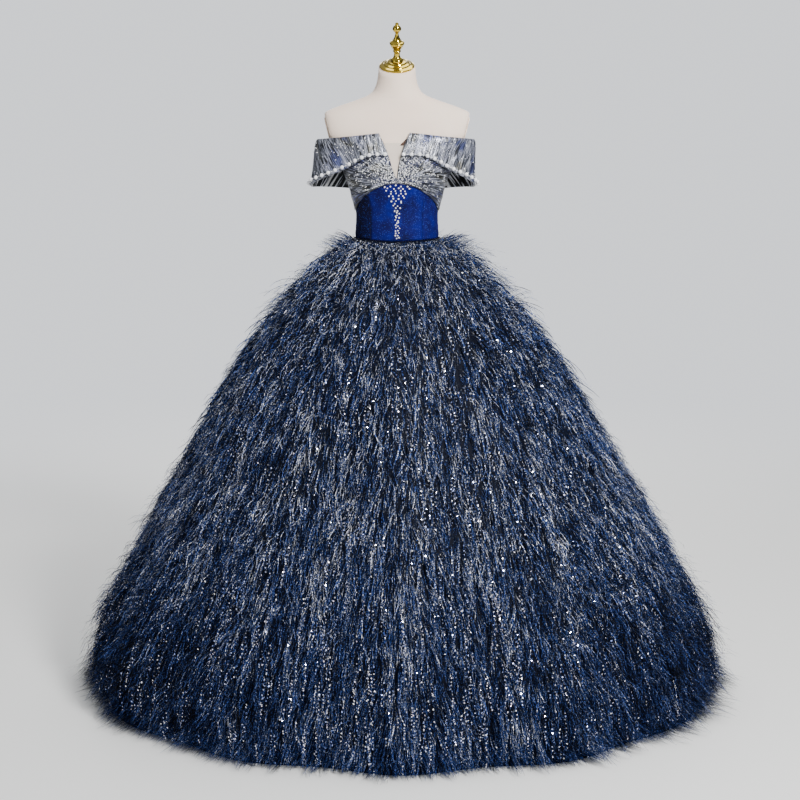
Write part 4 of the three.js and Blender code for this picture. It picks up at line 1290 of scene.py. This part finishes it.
def makePearls(side, sign, tree):
    start = np.abs(notchTurn(sign, collarBottomZ(0), layers["collar"])) + pearlRun["startTurn"]
    turn = sign * np.linspace(start, pearlRun["endTurn"], 160)
    z = mix(collarBottomZ(turn), collarTopZ(turn), pearlRun["up"])
    out = pearlRun["wall"] + pearlString["pearl"] / mm + pearlRun["clear"]
    points = place(turn, collarRadius(sign, turn, pearlRun["up"], z) + out, z)
    mesh = bpy.data.meshes.new("path")
    mesh.from_pydata((points * mm).tolist(), [(i, i + 1) for i in range(len(points) - 1)], [])
    piece = grow(f"pearls_{side}", newObject("path", mesh), tree, {**pearlString, "pearls": pearl})
    return seat(piece, [f"pearl_trim_{side}"])


pearlNodes = pearlTree()
pearls = {side: makePearls(side, sign, pearlNodes) for side, sign in sides.items()}


# Beads and crystals sewn to the cloth: each vertex of the base mesh gets one, of its own size and tone.
stones = {"radius": 2.2 * mm, "least": 0.8, "detail": 2, "seed": 3}


def stoneTree():
    tree, given = newTree("stones", {**stones, "material": None})
    ball = addNode(tree, "GeometryNodeMeshIcoSphere", None,
                   {"Subdivisions": given["detail"], "Radius": given["radius"]})
    tone = byChance(tree, given["seed"])
    points = addNode(tree, "GeometryNodeMeshToPoints", None, {"Mesh": given["Geometry"]})
    points = stored(tree, points, "tone", tone)
    spin = byChance(tree, given["seed"], None, (6.28, 6.28, 6.28), "FLOAT_VECTOR")
    size = byChance(tree, given["seed"], given["least"], 1.1)
    spin = addNode(tree, "FunctionNodeEulerToRotation", None, {"Euler": spin})
    balls = addNode(tree, "GeometryNodeInstanceOnPoints", None,
                    {"Points": points, "Instance": ball.outputs["Mesh"], "Rotation": spin, "Scale": size})
    endTree(tree, balls, given["material"])
    return tree


stoneNodes = stoneTree()


def sewOn(name, points, **values):
    return seat(grow(name, newPiece("spots", points, []), stoneNodes, {**stones, **values}), [])


# White beads on the velvet: a triangle that narrows from the underbust seam into a column down to the waist.
velvetBeads = {
    "pitch": 6, "rowPitch": 1.05, "halfTop": 33, "halfLow": 6, "triangle": 64, "apartTop": 7.5, "apartLow": 7,
    "apartColumn": 1.15, "share": 0.62, "shareColumn": 0.9, "jitter": 1.8, "radius": 2.1 * mm, "seed": 21,
}


def makeVelvetBeads():
    chance = np.random.default_rng(velvetBeads["seed"])
    top = underbustZ(0) - 5
    bottom = waistZ(0) + 4
    spots = []
    z = top
    row = 0
    while z > bottom:
        down = (top - z) / velvetBeads["triangle"]
        half = mix(velvetBeads["halfTop"], velvetBeads["halfLow"], min(1, down))
        pitch = mix(velvetBeads["apartTop"], velvetBeads["apartLow"], min(1, down))
        pitch = pitch * (1 if down < 1 else velvetBeads["apartColumn"])
        share = velvetBeads["share"] if down < 1 else velvetBeads["shareColumn"]
        count = max(2, round(2 * half / pitch * share))
        for k in range(count):
            x = mix(-half, half, (k + 0.5 * (row % 2) + 0.25) / count)
            x = x + chance.uniform(-1, 1) * velvetBeads["jitter"]
            spots.append((x, z + chance.uniform(-1, 1) * velvetBeads["jitter"]))
        z -= velvetBeads["pitch"] * velvetBeads["rowPitch"]
        row += 1
    x, z = np.array(spots).T
    turn = np.degrees(np.arcsin(x / formRadius(0, z)))
    z = np.minimum(z, underbustZ(turn) - 3)
    points = place(turn, formRadius(turn, z) + layers["midriff"][1] + 1, z)
    return sewOn("velvet_beads", points, radius=velvetBeads["radius"], material=pearl)


# Crystals over the knot, thinning out along the folds, some on the collar, and beads on the underbust seam.
bustCrystals = {"count": 2500, "spreadX": 44, "spreadZ": 30, "z": 1352, "radius": 1.35 * mm, "seed": 8}
collarCrystals = {"count": {"left": 190, "right": 290}, "spread": 42, "radius": 1.5 * mm, "seed": 9}
arcBeads = {"count": 23, "halfTurn": 34, "radius": 1.3 * mm}


def makeBustCrystals():
    chance = np.random.default_rng(bustCrystals["seed"])
    x = chance.normal(0, bustCrystals["spreadX"], bustCrystals["count"])
    z = bustCrystals["z"] + chance.normal(0, bustCrystals["spreadZ"], bustCrystals["count"])
    turn = np.degrees(np.arcsin(np.clip(x / (formRadius(0, z) + 8), -0.9, 0.9)))
    leftEdge, rightEdge = readTable(notch, "left", z), readTable(notch, "right", z)
    onCloth = (z > underbustZ(turn) + 4) & (z < collarBottomZ(turn) - 4)
    onCloth = onCloth & ((x < -leftEdge - 2) | (x > rightEdge + 2))
    turn, z = turn[onCloth], z[onCloth]
    points = place(turn, formRadius(turn, z) + layers["bodice"][1] + drapeLift(turn, z)[0] + 0.5, z)
    return sewOn("bust_crystals", points, radius=bustCrystals["radius"], least=0.45, detail=1,
                 material=crystal)


def makeCollarCrystals(side, sign):
    chance = np.random.default_rng(collarCrystals["seed"] + sign)
    away = np.abs(chance.normal(0, collarCrystals["spread"], collarCrystals["count"][side]))
    up = chance.uniform(0.12, 0.93, len(away))
    start = np.abs(notchTurn(sign, mix(collarBottomZ(0), collarTopZ(0), up), layers["collar"])) + 2
    turn = sign * (start + away)
    radius, z = collarFace(sign, turn, up)
    return sewOn(f"collar_crystals_{side}", place(turn, radius + 0.4, z), radius=collarCrystals["radius"],
                 least=0.5, detail=1, material=crystal)


def makeArcBeads():
    turn = np.linspace(-arcBeads["halfTurn"], arcBeads["halfTurn"], arcBeads["count"])
    z = underbustZ(turn) + 5
    points = place(turn, formRadius(turn, z) + layers["bodice"][1] + 0.6, z)
    return sewOn("arc_beads", points, radius=arcBeads["radius"], detail=1, material=pearl)


velvetBeadPiece = makeVelvetBeads()
crystalPiece = makeBustCrystals()
collarStones = {side: makeCollarCrystals(side, sign) for side, sign in sides.items()}
arcPiece = makeArcBeads()
print("pearls, beads and crystals made")


# A pale floor, a soft key from the front right, a fill from the left, and a room that is brightest overhead.
stage = {
    "floor": 9000, "floorColour": "#f1f1ef", "room": "#e4e7ec", "roomLow": 0.08, "roomHigh": 0.62,
    "roomSeen": 1.5, "fadeStart": 1.7, "fadeEnd": 5.2,
}
lights = {
    "key": {"at": (1.7, -3.1, 3.2), "size": 0.7, "power": 265, "aim": (0, 0, 1.2)},
    "fill": {"at": (-3.0, -2.6, 1.8), "size": 2.4, "power": 22, "aim": (0, 0, 0.8)},
    "top": {"at": (0.4, 0.6, 3.9), "size": 2.0, "power": 45, "aim": (0, 0, 1.0)},
    "rear": {"at": (0, 5.5, 3.4), "size": 4.5, "power": 240, "aim": (0, 5.4, 0)},
}
camera = {"at": (0.0078, -5.0, 1.535), "down": 8.97, "lens": 86.6}


def makeStage():
    half = stage["floor"]
    ground, tree, shader = newMaterial("matt floor paint", baseColor=stage["floorColour"], roughness=0.7)
    place3d = objectPlace(tree)
    far = addNode(tree, "ShaderNodeVectorMath", {"operation": "LENGTH"}, {0: place3d}).outputs["Value"]
    fade = addNode(tree, "ShaderNodeMapRange", {"interpolation_type": "SMOOTHSTEP"},
                   {"Value": far, "From Min": stage["fadeStart"], "From Max": stage["fadeEnd"]})
    seen = addNode(tree, "ShaderNodeLightPath").outputs["Is Camera Ray"]
    fade = maths(tree, "MULTIPLY", fade, seen)
    glow = addNode(tree, "ShaderNodeEmission", None,
                   {"Color": colour(stage["room"]), "Strength": stage["roomSeen"]})
    faded = addNode(tree, "ShaderNodeMixShader", None, {0: fade, 1: shader.outputs[0], 2: glow.outputs[0]})
    tree.links.new(faded.outputs[0], tree.nodes["Material Output"].inputs["Surface"])
    floor = newPiece("floor", [(-half, -half, 0), (half, -half, 0), (half, half, 0), (-half, half, 0)],
                     [[0, 1, 2, 3]], [ground])
    for name, light in lights.items():
        lamp = bpy.data.lights.new(name, "AREA")
        lamp.energy, lamp.size = light["power"], light["size"]
        holder = newObject(name, lamp)
        aim = np.array(light["aim"]) - np.array(light["at"])
        holder.location = light["at"]
        holder.rotation_euler = (math.acos(-aim[2] / np.linalg.norm(aim)), 0, math.atan2(-aim[0], aim[1]))
    world = bpy.data.worlds.new("pale room")
    world.use_nodes = True
    room = world.node_tree.nodes["Background"]
    room.inputs["Color"].default_value = colour(stage["room"])
    tree = world.node_tree
    around = addNode(tree, "ShaderNodeSeparateXYZ", None,
                     {"Vector": addNode(tree, "ShaderNodeTexCoord").outputs["Generated"]})
    glow = mapped(tree, around.outputs["Z"], (0.0, 0.9), (stage["roomLow"], stage["roomHigh"]))
    seen = addNode(tree, "ShaderNodeLightPath").outputs["Is Camera Ray"]
    strength = addNode(tree, "ShaderNodeMix", {"data_type": "FLOAT"},
                       {"Factor": seen, "A": glow, "B": stage["roomSeen"]})
    tree.links.new(strength.outputs[0], room.inputs["Strength"])
    bpy.context.scene.world = world
    view = bpy.data.cameras.new("view")
    view.lens, view.sensor_width = camera["lens"], 36
    holder = newObject("view", view)
    holder.location = camera["at"]
    holder.rotation_euler = (math.radians(90 - camera["down"]), 0, 0)
    bpy.context.scene.camera = holder


makeStage()
